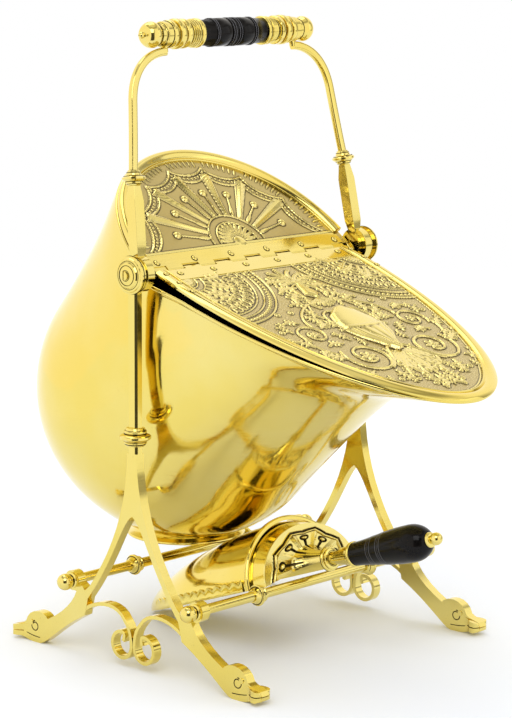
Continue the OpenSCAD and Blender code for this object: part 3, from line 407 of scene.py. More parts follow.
def grid_faces(rows, columns, wrap_rows=False, wrap_columns=False):
    """Quads over a grid of rows by columns of points."""
    i = np.arange(rows if wrap_rows else rows - 1)[:, None]
    j = np.arange(columns if wrap_columns else columns - 1)[None, :]
    a = i * columns + j
    b = i * columns + (j + 1) % columns
    c = (i + 1) % rows * columns + (j + 1) % columns
    d = (i + 1) % rows * columns + j
    return np.stack([a, b, c, d], -1).reshape(-1, 4).tolist()


def sweep(name, rings, body, finish="brass", nodes=(), place=None, caps=True, sharp=45):
    """Closed solid through rings of points, capped at both ends or closed into a loop."""
    rings = np.asarray(rings, float)
    count, size = rings.shape[:2]
    faces = grid_faces(count, size, wrap_columns=True, wrap_rows=not caps)
    if caps:
        faces.append(list(range(size))[::-1])
        faces.append(list(range((count - 1) * size, count * size)))
    piece = new_piece(name, rings, faces, body, finish, nodes, place, sharp)
    outward_faces(piece.data)
    return piece


def outward_faces(mesh):
    """Turns all faces outwards."""
    shape = bmesh.new()
    shape.from_mesh(mesh)
    bmesh.ops.recalc_face_normals(shape, faces=shape.faces)
    shape.to_mesh(mesh)
    shape.free()


def finished_copy(node, body, finish, bevel):
    """Stands for a CAD node with the same shape, worn edges and smooth turned faces."""
    mesh = frame["nodes"][node].data.copy()
    shape = bmesh.new()
    shape.from_mesh(mesh)
    bmesh.ops.remove_doubles(shape, verts=shape.verts, dist=0.01 * MM)
    bmesh.ops.dissolve_degenerate(shape, edges=shape.edges, dist=0.005 * MM)
    if bevel == CAST_BEVEL:
        bmesh.ops.dissolve_limit(shape, angle_limit=math.radians(0.5), verts=shape.verts, edges=shape.edges)
    shape.to_mesh(mesh)
    shape.free()
    if "custom_normal" in mesh.attributes:
        mesh.attributes.remove(mesh.attributes["custom_normal"])
    mesh.materials.clear()
    piece = dress(mesh, node + "_finish", body, finish, [node], 32)
    worn = piece.modifiers.new("worn_edges", "BEVEL")
    worn.width = bevel * MM
    worn.segments = 2
    worn.limit_method = "ANGLE"
    worn.angle_limit = math.radians(38)
    worn.harden_normals = True


def towards(angle):
    """Unit vector at an angle in radians."""
    return np.array([math.cos(angle), math.sin(angle)])


def unit(v):
    """Vectors of the same directions and of length 1."""
    return v / np.maximum(np.linalg.norm(v, axis=-1, keepdims=True), 1e-9)


def curve(a, b, c, d, count):
    """Points, or rows of points, along a cubic curve."""
    a, b, c, d = (np.asarray(p, float) for p in (a, b, c, d))
    t = np.linspace(0, 1, count).reshape(-1, *[1] * a.ndim)
    u = 1 - t
    return u**3 * a + 3 * u * u * t * b + 3 * u * t * t * c + t**3 * d


def path_lengths(points):
    """Way along a path up to each of its points."""
    return np.concatenate([[0], np.cumsum(np.linalg.norm(np.diff(points, axis=0), axis=1))])


# ---- bucket


def lid_at(a, half, far):
    """Lid outline at angle a in radians: half width and distance from the pivots."""
    along = LID_WIDE_AT + (far - LID_WIDE_AT) * np.sin(a) ** LID_ROUND
    return half * np.cos(a) ** LID_ROUND, along


def rim_points(a):
    """Centre of the wired rim at angles a in degrees round the bucket."""
    rear = np.stack([HOOD_R * np.cos(np.radians(a)), HOOD_R * np.sin(np.radians(a)) - HOOD_SHIFT,
                     np.full_like(a, -2.2)], -1)
    quarter = np.where(a <= 270, a - 180, 360 - a) / 90
    side = np.clip(quarter / RIM_SIDE, 0, 1)
    swing = np.clip((quarter - RIM_SIDE) / (1 - RIM_SIDE), 0, 1) * math.pi / 2
    far_x, far_y = lid_at(swing, LID_HALF, LID_LEN - 3)
    beside = quarter <= RIM_SIDE
    x = np.where(beside, HOOD_R - (HOOD_R - LID_HALF) * side, far_x)
    y = np.where(beside, 6 + (LID_WIDE_AT - 6) * side, far_y)
    h = -WIRE_R - 1.1 - RIM_GAP * (1 - y / (LID_LEN - 3))
    front = np.stack([np.where(a <= 270, -x, x), -y * math.cos(BEND) + h * math.sin(BEND),
                      y * math.sin(BEND) + h * math.cos(BEND)], -1)
    return np.where((a <= 180)[:, None], rear, front)


def bucket_grid(turns, dome_rows, wall_rows):
    """Outside of the bucket as rows from its bottom to its rim."""
    a = np.linspace(0, 360, turns, endpoint=False)
    front = a > 180
    full = np.where(front, FRONT_FULL, 1.0)
    out = np.stack([np.cos(np.radians(a)), np.sin(np.radians(a)) * full, np.zeros_like(a)], -1)
    middle = np.array([0, -BODY_SHIFT, -BODY_DROP])
    rows = []
    for t in np.radians(np.linspace(0.5, 90, dome_rows)):
        rows.append(middle + BODY_R * (math.sin(t) * out - [0, 0, math.cos(t)]))
    f = np.where(front, np.abs(np.sin(np.radians(a))) ** 0.86, 0.0)[:, None]
    p0 = middle + BODY_R * out
    p3 = rim_points(a)
    way = np.array([0, 0, 1]) * (1 - f) + np.array([0, -math.cos(BEND), math.sin(BEND) * LIP_RISE]) * f
    rise = (p3[:, 2:] - p0[:, 2:]) * (UPRIGHT + 0.09 * f)
    p1 = p0 + rise * [0, 0, 1] + out * FRONT_LEAN * f
    p2 = p3 - way * (REAR_RUN + (LIP_RUN - REAR_RUN) * f)
    return np.array(rows + list(curve(p0, p1, p2, p3, wall_rows)[1:]))


def make_bucket():
    """Wall of the bucket from its round bottom to the wired edge, and its sooty inside."""
    outer = bucket_grid(240, 30, 56)
    round_way = np.roll(outer, -1, 1) - np.roll(outer, 1, 1)
    up_way = np.gradient(outer, axis=0)
    out = unit(np.cross(round_way, up_way))
    rim, rim_out = outer[-1], out[-1]
    rim_up = unit(np.cross(rim_out, unit(round_way[-1])))
    wire = [rim - WALL / 2 * rim_out + WIRE_R * (math.cos(t) * rim_out + math.sin(t) * rim_up)
            for t in np.radians(np.linspace(-55, 190, 14))]
    inner = (outer - WALL * out)[::-1][1:]
    rings = np.concatenate([outer[:-1], wire, inner])
    bucket = sweep("bucket_wall", rings, "bucket", "bucket", ["bucket_bottom", "bucket_barrel"], sharp=60)
    bucket.data.materials.append(MATERIALS["inside"])
    first_inner = (len(outer) + len(wire)) * outer.shape[1]
    for face in bucket.data.polygons:
        if min(face.vertices) >= first_inner:
            face.material_index = 1


def make_hood_band():
    """Rolled band round the rear panel with its inner bead."""
    inside = HOOD_R - HOOD_W
    start = math.asin((STRAP_AT + REAR_STRAP_W + 0.1 + HOOD_SHIFT) / inside)
    bead = [(inside + 1.1 - 1.1 * math.cos(t), BASE + 0.9 + 1.5 * math.sin(t))
            for t in np.linspace(0, math.pi, 9)]
    roll = curve((inside + 2.4, BASE + 2), (inside + 5, BASE + HOOD_H), (HOOD_R + 1, BASE + HOOD_H + 2),
                 (HOOD_R, BASE), 18)
    section = np.array([(inside, BASE), *bead, *roll])
    r, z = section.T
    rings = [np.stack([r * math.cos(t), r * math.sin(t) - HOOD_SHIFT, z], -1)
             for t in np.linspace(start, math.pi - start, 130)]
    sweep("hood_roll", rings, "bucket", nodes=["hood_band"])


# ---- lid


def lid_outline(count):
    """Whole lid edge from its right end round the tip to its left end."""
    back_half = LID_HALF - 1.5
    side = curve((back_half, LID_BACK), (LID_HALF - 0.6, LID_BACK + 14), (LID_HALF, LID_WIDE_AT - 22),
                 (LID_HALF, LID_WIDE_AT), count // 4)[:-1]
    x, y = lid_at(np.linspace(0, math.pi / 2, count), LID_HALF, LID_LEN)
    right = np.concatenate([side, np.stack([x, y], -1)])
    left = right[:-1][::-1] * [-1, 1]
    return np.concatenate([right, left]) * [1, -1]


def inward(path):
    """Unit directions from the points of the lid edge into the lid."""
    step = unit(np.gradient(path, axis=0))
    return np.stack([step[:, 1], -step[:, 0]], -1)


def make_lid_border():
    """Convex border of the lid with a rounded bead along its inner side."""
    path = lid_outline(70)
    into = inward(path)
    bead = [(BORDER_W + 0.3 - 1.1 * math.cos(t), BASE + 0.8 + 1.3 * math.sin(t))
            for t in np.linspace(math.pi, 0, 9)]
    top = curve((BORDER_W - 1.4, BASE + 0.9), (BORDER_W * 0.7, BASE + BORDER_H + 0.9),
                (BORDER_W * 0.3, BASE + BORDER_H + 0.9), (0, BASE), 16)
    section = [(0, -1), (0.9, -1), (0.9, BASE), (BORDER_W + 1.4, BASE), *bead, *top]
    rings = [[(p[0] + n[0] * s, p[1] + n[1] * s, z) for s, z in section] for p, n in zip(path, into)]
    sweep("lid_roll", rings, "lid", nodes=["lid_border"])


# ---- relief


class Relief:
    """Height field over a flat sheet, built from ridges, domes and rings.

    Places are in millimetres on the sheet: x across it and p from the hinge outwards.
    """

    step = 0.75

    def __init__(self, half, near, far):
        self.x = np.arange(-half, half + self.step, self.step)
        self.p = np.arange(near, far + self.step, self.step)
        self.height = np.zeros((len(self.p), len(self.x)))

    def window(self, x0, x1, p0, p1):
        """Part of the grid inside a box, with its coordinates."""
        i = slice(*np.searchsorted(self.p, (p0, p1)))
        j = slice(*np.searchsorted(self.x, (x0, x1)))
        gx, gp = np.meshgrid(self.x[j], self.p[i])
        return (i, j), gx, gp

    def raise_to(self, where, height):
        self.height[where] = np.maximum(self.height[where], height)

    def dome(self, x, p, r, height, flat=2.0):
        where, gx, gp = self.window(x - r, x + r, p - r, p + r)
        d = np.hypot(gx - x, gp - p) / r
        self.raise_to(where, height * np.clip(1 - d**flat, 0, 1) ** 0.5)

    def ring(self, x, p, r, width, height, start=-math.pi, end=math.pi):
        reach = r + width
        where, gx, gp = self.window(x - reach, x + reach, p - reach, p + reach)
        d = np.abs(np.hypot(gx - x, gp - p) - r) / (width / 2)
        turn = np.arctan2(gp - p, gx - x)
        inside = (turn >= start) & (turn <= end)
        self.raise_to(where, height * np.clip(1 - d * d, 0, 1) ** 0.5 * inside)

    def ridge(self, points, width, height, taper=(1.0, 1.0), crease=0.0):
        """Rounded ridge along points, its width falling to the taper shares at its ends."""
        points = np.asarray(points, float)
        lengths = path_lengths(points)
        lo, hi = points.min(0) - width, points.max(0) + width
        where, gx, gp = self.window(lo[0], hi[0], lo[1], hi[1])
        if not gx.size:
            return
        best = np.full(gx.shape, 9.0)
        for a, b, s0, s1 in zip(points[:-1], points[1:], lengths[:-1], lengths[1:]):
            d = b - a
            t = np.clip(((gx - a[0]) * d[0] + (gp - a[1]) * d[1]) / max(d @ d, 1e-9), 0, 1)
            share = (s0 + (s1 - s0) * t) / lengths[-1]
            swell = taper[0] + (1 - taper[0]) * np.minimum(share * 2.5, 1)
            fade = taper[1] + (1 - taper[1]) * np.minimum((1 - share) * 2.5, 1)
            half = width / 2 * np.minimum(swell, fade)
            best = np.minimum(best, np.hypot(gx - a[0] - d[0] * t, gp - a[1] - d[1] * t) / half)
        shape = np.clip(1 - best * best, 0, 1) ** 0.5
        self.raise_to(where, height * shape * (1 - crease * np.exp(-((best / 0.25) ** 2))))

    def stem(self, ends, width, height, taper, crease=0.0, count=12, side=1):
        """Ridge along the cubic curve of four points, mirrored where side is -1."""
        self.ridge(curve(*np.multiply(ends, (side, 1)), count), width, height, taper, crease)

    def beads(self, points, pitch, r, height):
        """Row of small domes along a path."""
        lengths = path_lengths(points)
        for s in np.arange(pitch / 2, lengths[-1], pitch):
            self.dome(np.interp(s, lengths, points[:, 0]), np.interp(s, lengths, points[:, 1]), r, height)

    def petal(self, x, p, angle, start, end, width, height, crease=0.5):
        """Leaf from radius start to end about a point, widest near its outer end."""
        spine = [towards(angle) * r + [x, p] for r in np.linspace(start, end - width / 3, 5)]
        self.ridge(spine, width, height, (0.3, 0.8), crease)

    def relief_light_and_shade(self):
        """Painted shade and highlight: 1 on high places and 0 in hollows, from the height against its
        surroundings.
        """
        blurred = self.height.copy()
        for _ in range(3):
            padded = np.pad(blurred, 1, mode="edge")
            blurred = (padded[:-2, 1:-1] + padded[2:, 1:-1] + padded[1:-1, :-2] + padded[1:-1, 2:]
                       + padded[1:-1, 1:-1]) / 5
        return np.clip(0.36 + 1.1 * (self.height - blurred) + 0.28 * np.minimum(self.height, 1.2), 0, 1)

    def piece(self, name, inside, body, flip, nodes):
        """Sheet with this relief where inside(x, p) holds, standing for CAD nodes."""
        gx, gp = np.meshgrid(self.x, self.p)
        keep = inside(gx, gp)
        number = np.full(keep.shape, -1)
        number[keep] = np.arange(keep.sum())
        quads = np.stack([number[:-1, :-1], number[:-1, 1:], number[1:, 1:], number[1:, :-1]], -1)
        quads = quads[quads.min(-1) >= 0]
        top = np.stack([gx, gp * flip, BASE + self.height], -1)[keep]
        under = top * [1, 1, 0] + [0, 0, -0.2]
        count = len(top)
        ends = np.concatenate([quads[:, [k, (k + 1) % 4]] for k in range(4)])
        _, first, times = np.unique(np.sort(ends, 1), axis=0, return_index=True, return_counts=True)
        edge = ends[first[times == 1]]
        faces = np.concatenate([quads, quads[:, ::-1] + count, np.hstack([edge[:, ::-1], edge + count])])
        if flip < 0:
            faces = faces[:, ::-1]
        verts = np.concatenate([top, under])
        sheet = new_piece(name, verts, faces.tolist(), body, "embossed", nodes, sharp=80)
        # Points of the top carry painted shade in the hollows and painted highlights on the high places.
        paint_light_and_shade(sheet, np.concatenate([self.relief_light_and_shade()[keep], np.full(count, 0.4)]))


def arc(x, p, r, start, end, count):
    """Points of an arc, its angles in radians."""
    t = np.linspace(start, end, count)
    return np.stack([x + r * np.cos(t), p + r * np.sin(t)], -1)


def spiral(x, p, r0, r1, start, turns):
    """Points of a spiral from radius r0 to r1; negative turns run clockwise."""
    return arc(x, p, np.linspace(r0, r1, 40), start, start + 2 * math.pi * turns, 40)


def rosette(r, x, p, size, petals=6):
    """Small flower with a round heart."""
    for angle in around(petals):
        r.petal(x, p, angle, size * 0.25, size, size * 0.55, 1.5, 0.4)
    r.dome(x, p, size * 0.3, 2.0)


def acanthus(r, root, way, size, side):
    """Curling leaf with three lobes on each side, the larger ones where it curls to."""
    way = unit(np.asarray(way, float))
    across = np.array([-way[1], way[0]]) * side

    def at(along, aside):
        return root + (way * along + across * aside) * size

    spine = curve(at(0, 0), at(0.5, 0), at(0.9, 0.1), at(1, 0.42), 10)
    r.ridge(spine, size * 0.24, 1.7, (0.5, 0.5), 0.4)
    for share, reach in ((0.25, 0.32), (0.5, 0.36), (0.75, 0.3)):
        r.stem((at(share, 0), at(share + 0.1, reach * 0.4), at(share + 0.16, reach),
                at(share + 0.02, reach)), size * 0.16, 1.4, (0.8, 0.5), count=7)
        back = share - 0.04
        r.stem((at(back, 0), at(back + 0.1, -reach * 0.3), at(back + 0.16, -reach * 0.6),
                at(back + 0.06, -reach * 0.8)), size * 0.14, 1.3, (0.8, 0.5), count=7)
    r.dome(*spine[-1], size * 0.12, 1.9)


# ---- hood

HUB_P = STRAP_AT + REAR_STRAP_W + 4.5
EDGE_R = HOOD_R - HOOD_W
RING_R = 35.0
SCALLOP_W = 9.5
SECTORS = 7
PETALS = 12


def edge_at(angle):
    """Distance from the fan hub to the hood band in a direction."""
    q = HUB_P + HOOD_SHIFT
    return math.sqrt(EDGE_R**2 - (q * math.cos(angle)) ** 2) - q * math.sin(angle)


def from_hub(angle, r):
    """Point at a distance from the fan hub in a direction."""
    return towards(angle) * r + [0, HUB_P]


def scallop_line(k, back):
    """Line of one scallop between the corners k and k + 1, which sags towards the hub."""
    a, b = (from_hub(math.pi * i / SECTORS, edge_at(math.pi * i / SECTORS) - back) for i in (k, k + 1))
    sag = -11 * unit((a + b) / 2 - [0, HUB_P])
    return curve(a, a + (b - a) / 4 + sag, b - (b - a) / 4 + sag, b, 16)


def hood_petals(r):
    """Half rosette at the hinge with its two rings."""
    for k in range(PETALS):
        angle = math.pi * (k + 0.5) / PETALS
        r.petal(0, HUB_P, angle, 8, RING_R - SCALLOP_W - 1.5, 4.6, 1.6)
        r.dome(*from_hub(angle, RING_R - SCALLOP_W - 3.6), 1.8, 1.9)
    r.dome(0, HUB_P, 7.5, 2.2)
    for radius in (RING_R - 0.7, RING_R - SCALLOP_W - 0.4):
        r.ring(0, HUB_P, radius, 1.6, 1.5, 0, math.pi)


def hood_ray(r, angle):
    """Fluted ray that widens outwards between two lines."""
    across = towards(angle + math.pi / 2)
    root, tip = from_hub(angle, RING_R + 1), from_hub(angle, edge_at(angle) - 2 * SCALLOP_W)
    for share in np.linspace(-1, 1, 15):
        r.ridge([root + across * share * 1.6, tip + across * share * 5], 1.5, 2.5 - 1.7 * abs(share))
    for side in (-1, 1):
        r.ridge([root + across * side * 2.2, tip + across * side * 5.9], 0.9, 1.0)


def hood_sector(r, k):
    """Ball on a stem between two rays, under a beaded double scallop."""
    angle = math.pi * (k + 0.5) / SECTORS
    far = 0.6 * edge_at(angle)
    r.petal(0, HUB_P, angle, RING_R, RING_R + 13, 4.2, 1.5)
    r.ridge([from_hub(angle, RING_R), from_hub(angle, far - 3)], 2.0, 1.3, (1.6, 0.6))
    r.dome(*from_hub(angle, far), 4.2, 3.2)
    for back in (SCALLOP_W, 2 * SCALLOP_W):
        r.ridge(scallop_line(k, back), 1.5, 1.5)
        r.ridge(scallop_line(k, back - 1.6), 0.8, 0.7)
    r.beads(scallop_line(k, 1.45 * SCALLOP_W), 5.0, 1.3, 1.0)
    for fan in range(-3, 4):
        start = from_hub(angle + fan * 0.055, edge_at(angle) - SCALLOP_W + 1.5)
        r.ridge([start, start + (start - [0, HUB_P]) * 0.07], 2.2, 0.8, (0.4, 1.0))


def hood_relief():
    """Rising-sun fan of the rear panel: rosette, rings, rays, balls on stems and scalloped border."""
    line = STRAP_AT + REAR_STRAP_W + 1.6
    r = Relief(EDGE_R + 10, STRAP_AT, EDGE_R + 12)
    r.ridge([(-EDGE_R, line), (EDGE_R, line)], 3.6, 2.0)
    hood_petals(r)
    for k in range(1, SECTORS):
        hood_ray(r, math.pi * k / SECTORS)
    for k in range(SECTORS):
        hood_sector(r, k)
    r.height *= np.hypot(*np.meshgrid(r.x, r.p + HOOD_SHIFT)) < EDGE_R + 0.6
    r.piece("hood_emboss", lambda x, p: np.hypot(x, p + HOOD_SHIFT) < HOOD_R - 3, "bucket", 1,
            ["hood_panel", "hood_ornament"])


# ---- lid ornament

LID_NEAR = STRAP_AT + FRONT_STRAP_W
MEDALLION_X = LID_HALF - 14.5
MEDALLION_R = 92.0
PALMETTE_P = 56.0
URN_P = 150.0
URN_HALF = 28.0
URN_H = 5.5
SCROLL_P = 196.0
COIL_R = 28.0
TIP_P = 262.0


def lid_relief():
    """Lid ornament: two medallions, a palmette, a gadrooned urn, scrolls and flowers."""
    r = Relief(LID_HALF, STRAP_AT, LID_LEN)
    for side in (-1, 1):
        scroll_branch(r, side)
    palmette(r)
    urn(r)
    tip_leaves(r)
    for side in (-1, 1):
        medallion(r, side)
    ground = np.random.default_rng(7).normal(0, 0.09, r.height.shape)
    r.height += np.where(r.height < 0.3, ground, 0)
    outline = lid_outline(60)
    line = (outline + inward(outline) * (BORDER_W + 3.2)) * [1, -1]
    r.ridge(line[8:-8], 1.4, 0.9)
    r.ridge([(-LID_HALF + 18, LID_NEAR + 1.2), (LID_HALF - 18, LID_NEAR + 1.2)], 1.6, 0.9)
    quarter = outline[: len(outline) // 2 + 1]
    gx, half = np.meshgrid(r.x, np.interp(r.p, -quarter[:, 1], quarter[:, 0]))
    r.height *= (np.abs(gx) < half - 9) & (r.p > LID_NEAR - 6)[:, None]
    r.piece("lid_emboss", lambda x, p: np.abs(x) < half - 1.2, "lid", -1, ["lid_panel", "lid_ornament"])


def medallion(r, side):
    """Corner panel: beaded double rings round scales, leaves and a small fan."""
    cx, cp = side * MEDALLION_X, LID_NEAR
    where, gx, gp = r.window(-LID_HALF, LID_HALF, STRAP_AT, LID_LEN)
    r.height[where][np.hypot(gx - cx, gp - cp) < MEDALLION_R] = 0
    for radius, width, height in ((91, 2.0, 1.7), (80, 1.6, 1.5), (73, 1.4, 1.2), (24, 1.4, 1.3),
                                  (17, 1.4, 1.3)):
        r.ring(cx, cp, radius, width, height, 0, math.pi)
    r.beads(arc(cx, cp, 85.5, 0.0, math.pi, 90), 5.2, 2.0, 1.5)

    def fan(count, first=0.5):
        start = math.pi / 2 if side > 0 else 0.0
        return [start + math.pi / 2 * (k + first) / count for k in range(count)]

    for radius, count, first in ((65, 11, 0.5), (55, 9, 1.0)):
        for angle in fan(count, first):
            x, p = towards(angle) * radius + [cx, cp]
            r.ring(x, p, 5, 1.5, 1.2)
            r.petal(x, p, angle + math.pi, 0, 8, 3.0, 1.2)
    for k, angle in enumerate(fan(6)):
        acanthus(r, towards(angle) * 25 + [cx, cp], towards(angle), 25, 1 if k % 2 else -1)
    for angle in fan(7):
        r.petal(cx, cp, angle, 3, 15, 3.0, 1.5, 0.4)


def palmette(r):
    """Fan of leaves by the strap above a fluted cup."""
    root = np.array([0, PALMETTE_P])
    for k in range(-4, 5):
        way = towards(-math.pi / 2 + 0.42 * k)
        tip = root + way * (27 - 1.2 * abs(k))
        bend = np.array([-way[1], way[0]]) * 3 * np.sign(k)
        r.stem((root, root + way * 9, tip - way * 8 - bend, tip + bend), 5.0, 2.0, (0.5, 0.9), 0.4, count=9)
        r.dome(*(tip + bend), 2.4, 2.2)
    where, gx, gp = r.window(-12, 12, 60, 90)
    half = np.interp(gp, [60, 64, 80, 88], [3, 4.5, 9.5, 1])
    r.raise_to(where, 3.2 * np.clip(1 - (gx / half) ** 2, 0, 1) ** 0.5)
    for side in (-1, 1):
        r.stem(((3, 60), (14, 62), (20, 74), (13, 88)), 3.6, 1.9, (0.6, 0.5), side=side)
        leaves(r, side, (8, 66, 1.0, -0.2, 24), (14, 74, 1.0, 0.5, 24), (14, 84, 0.5, 1.0, 20),
               (8, 54, 1.0, -0.5, 24))
    for k in range(-3, 4):
        r.petal(0, 88, math.pi / 2 + k * 0.36, 1, 17, 4.6, 1.9, 0.4)


def leaves(r, side, *rows):
    """Acanthus leaves of one half: root x and p, direction and size of each."""
    for x, p, vx, vp, size in rows:
        acanthus(r, (side * x, p), (side * vx, vp), size, side)


def scroll_branch(r, side):
    """Running acanthus scroll with a rosette in each coil."""
    for x, p, r0, r1, start, turns, width, height, flower in (
            (COIL_R + 17, SCROLL_P, COIL_R, 8, -math.pi / 6, 1.45, 3.6, 2.0, 8.5),
            (68, 148, 18, 6, math.pi / 5, -1.25, 3.0, 1.8, 5.5)):
        first = start if side > 0 else math.pi - start
        r.ridge(spiral(side * x, p, r0, r1, first, side * turns), width, height, (0.7, 0.6))
        rosette(r, side * x, p, flower)
    main = [(4, SCROLL_P - 6), (14, SCROLL_P - 20), (17, SCROLL_P + 14), (37, SCROLL_P + 24)]
    r.stem(main, 3.4, 2.0, (0.9, 0.8), count=14, side=side)
    r.stem(((70, 190), (88, 176), (90, 160), (84, 150)), 2.8, 1.6, (0.7, 0.6), side=side)
    r.stem(((6, 96), (30, 92), (62, 118), (58, 136)), 3.0, 1.7, (0.5, 0.8), side=side)
    r.stem(((24, 96), (30, 112), (40, 118), (44, 132)), 2.6, 1.6, (0.5, 0.8), side=side)
    leaves(r, side, (72, 196, 0.7, -0.8, 20), (64, 220, 0.9, 0.4, 18), (40, 226, -0.1, 1.0, 20),
           (18, 204, -0.4, -1.0, 13), (88, 168, 0.4, -1.0, 18), (50, 140, -0.8, -0.5, 17),
           (34, 104, 0.2, 1.0, 18), (48, 114, -0.3, 1.0, 16), (26, 98, 0.9, -0.6, 17),
           (66, 126, 0.8, -0.5, 16), (38, 166, 0.2, -1.0, 15), (24, 222, 0.5, 0.9, 16),
           (52, 170, 0.9, -0.4, 16), (88, 140, 0.2, -1.0, 14), (30, 178, -0.5, -1.0, 13),
           (58, 232, 0.4, 0.9, 13), (34, 128, -0.2, 1.0, 15), (78, 178, 0.9, 0.1, 14))
    for x, p, size in ((88, 124, 5.0), (36, 246, 3.6), (102, 150, 3.6), (44, 152, 3.4), (30, 148, 3.4),
                       (96, 176, 3.4), (78, 212, 3.4)):
        rosette(r, side * x, p, size, 5)
    for x, p in ((74, 106), (84, 190), (18, 256), (48, 240), (98, 136), (56, 106), (104, 164), (40, 138),
                 (72, 226), (26, 134)):
        r.ring(side * x, p, 2.6, 1.4, 1.2)
        r.dome(side * x, p, 1.2, 1.2)


def tip_leaves(r):
    """Flower above the lid's tip, with the stem and leaves that spread from it."""
    for side in (-1, 1):
        leaves(r, side, *((3, SCROLL_P + 2, lean, 1.0, size)
                          for lean, size in ((0.2, 34), (0.75, 38), (1.5, 30), (3.2, 24))))
        outer = [(3, SCROLL_P + 6), (14, SCROLL_P + 16), (30, SCROLL_P + 30), (34, SCROLL_P + 50)]
        inner = [(3, SCROLL_P + 6), (4, SCROLL_P + 26), (16, SCROLL_P + 40), (13, TIP_P)]
        r.stem(outer, 3.2, 1.8, (0.8, 0.5), count=14, side=side)
        r.stem(inner, 3.2, 1.8, (0.8, 0.4), count=14, side=side)
        acanthus(r, (side * 12, 236), (side * 0.5, 1.0), 18, side)
        acanthus(r, (side * 6, 244), (side * -0.1, 1.0), 20, -side)
        r.dome(side * 13, TIP_P, 2.4, 2.0)
        for p, reach in ((216, 10), (230, 11), (246, 8)):
            r.stem(((0, p), (reach * 0.5, p), (reach, p + 2), (reach, p + 7)), 2.4, 1.4, (0.9, 0.4),
                   count=7, side=side)
    r.ridge([(0, SCROLL_P), (0, TIP_P + 2)], 3.0, 1.6, (1.0, 0.3))
    rosette(r, 0, SCROLL_P, 9)


def urn(r):
    """Gadrooned urn in high relief in the middle of the lid."""
    where, gx, gp = r.window(-URN_HALF - 2, URN_HALF + 2, URN_P - 36, SCROLL_P)
    half = np.interp(gp, [URN_P - 36, URN_P - 28, URN_P - 14, URN_P, URN_P + 16, URN_P + 30, SCROLL_P],
                     [9, 20, URN_HALF - 2, URN_HALF, 22, 12, 3])
    share = np.clip(gx / half, -1, 1)
    flutes = 0.8 * np.abs(np.sin(np.arcsin(share) * 6.5))
    rim_p = URN_P + 3 - 7 * share**2
    crown = URN_H * np.clip(1 - share**2, 0, 1) ** 0.5
    body = np.where(gp > rim_p, crown * 0.82 + flutes, crown)
    rim = np.where(np.abs(gp - rim_p) < 2.2, crown + 0.5, 0)
    r.raise_to(where, np.maximum(body, rim) * (np.abs(gx) < half))
    handle = [(8, URN_P - 34), (20, URN_P - 44), (34, URN_P - 24), (27, URN_P - 6)]
    for side in (-1, 1):
        r.stem(handle, 2.8, 1.8, (0.7, 0.6), side=side)


# ---- shovel


def scoop_w(y):
    """Half width of the scoop at a distance from its back."""
    return SCOOP_HALF * np.maximum(1 - (y / SCOOP_LEN) ** 3, 0) ** 0.75


def scoop_h(y):
    """Height of the scoop's arch at a distance from its back."""
    return SCOOP_H * np.maximum(1 - (y / SCOOP_LEN) ** 2.2, 0) ** 0.75


def scoop_low(y):
    """Height of the sheet, which drops from the hoop to the lower back plate."""
    return scoop_h(y) - (SCOOP_H - PLATE_H) * np.clip(1 - y / (HOOP_AT + 4), 0, 1) ** 1.2


def make_scoop():
    """Arched sheet of the scoop."""
    turn = np.linspace(0, math.pi, 61)
    rings = []
    for y in SCOOP_LEN * (1 - (1 - np.linspace(0, 0.94, 70)) ** 1.5):
        outer, inner = (np.stack([(scoop_w(y) - thick) * np.cos(turn), np.full(61, y + PLATE_T),
                                  (scoop_low(y) - thick) * np.sin(turn)], -1) for thick in (0, SCOOP_WALL))
        rings.append(np.concatenate([outer, inner[::-1]]))
    sweep("scoop_sheet", rings, "shovel", nodes=["scoop_shell"])


def make_hoop():
    """Rounded band over the scoop beside its back plate."""
    section = [(2.2 + 2.4 * math.sin(t), HOOP_W / 2 * math.cos(t)) for t in np.linspace(0, math.pi, 9)]
    section += [(0, -HOOP_W / 2), (0, HOOP_W / 2)]
    rings = [[((SCOOP_HALF + out) * math.cos(t), HOOP_AT + y, (SCOOP_H + out) * math.sin(t))
              for out, y in section] for t in np.linspace(0, math.pi, 90)]
    sweep("scoop_band", rings, "shovel", nodes=["scoop_hoop"])


def make_strips():
    """Scalloped strips along the two lower edges of the scoop."""
    section = ((0, 0.1), (0, 1.2), (0.15, 1.7), (0.3, 1.2), (0.6, 1.1), (0.8, 1.4), (0.93, 1.9), (1, 1.3),
               (1, 0.1))
    for side, label in SIDES:
        rings = []
        for s in np.linspace(30, 180, 160):
            w, h = scoop_w(s - PLATE_T), scoop_h(s - PLATE_T)
            top = STRIP_H * (0.72 + 0.28 * abs(math.sin(math.pi * s / SCALLOP))) * min(1, h / 30)
            turns = [(out, math.asin(min(top * share / h, 1))) for share, out in section]
            rings.append([(side * (w + out) * math.cos(t), s, (h + out) * math.sin(t)) for out, t in turns])
        sweep("scoop_strip_" + label, rings, "shovel", nodes=["scoop_strips"] if side < 0 else ())


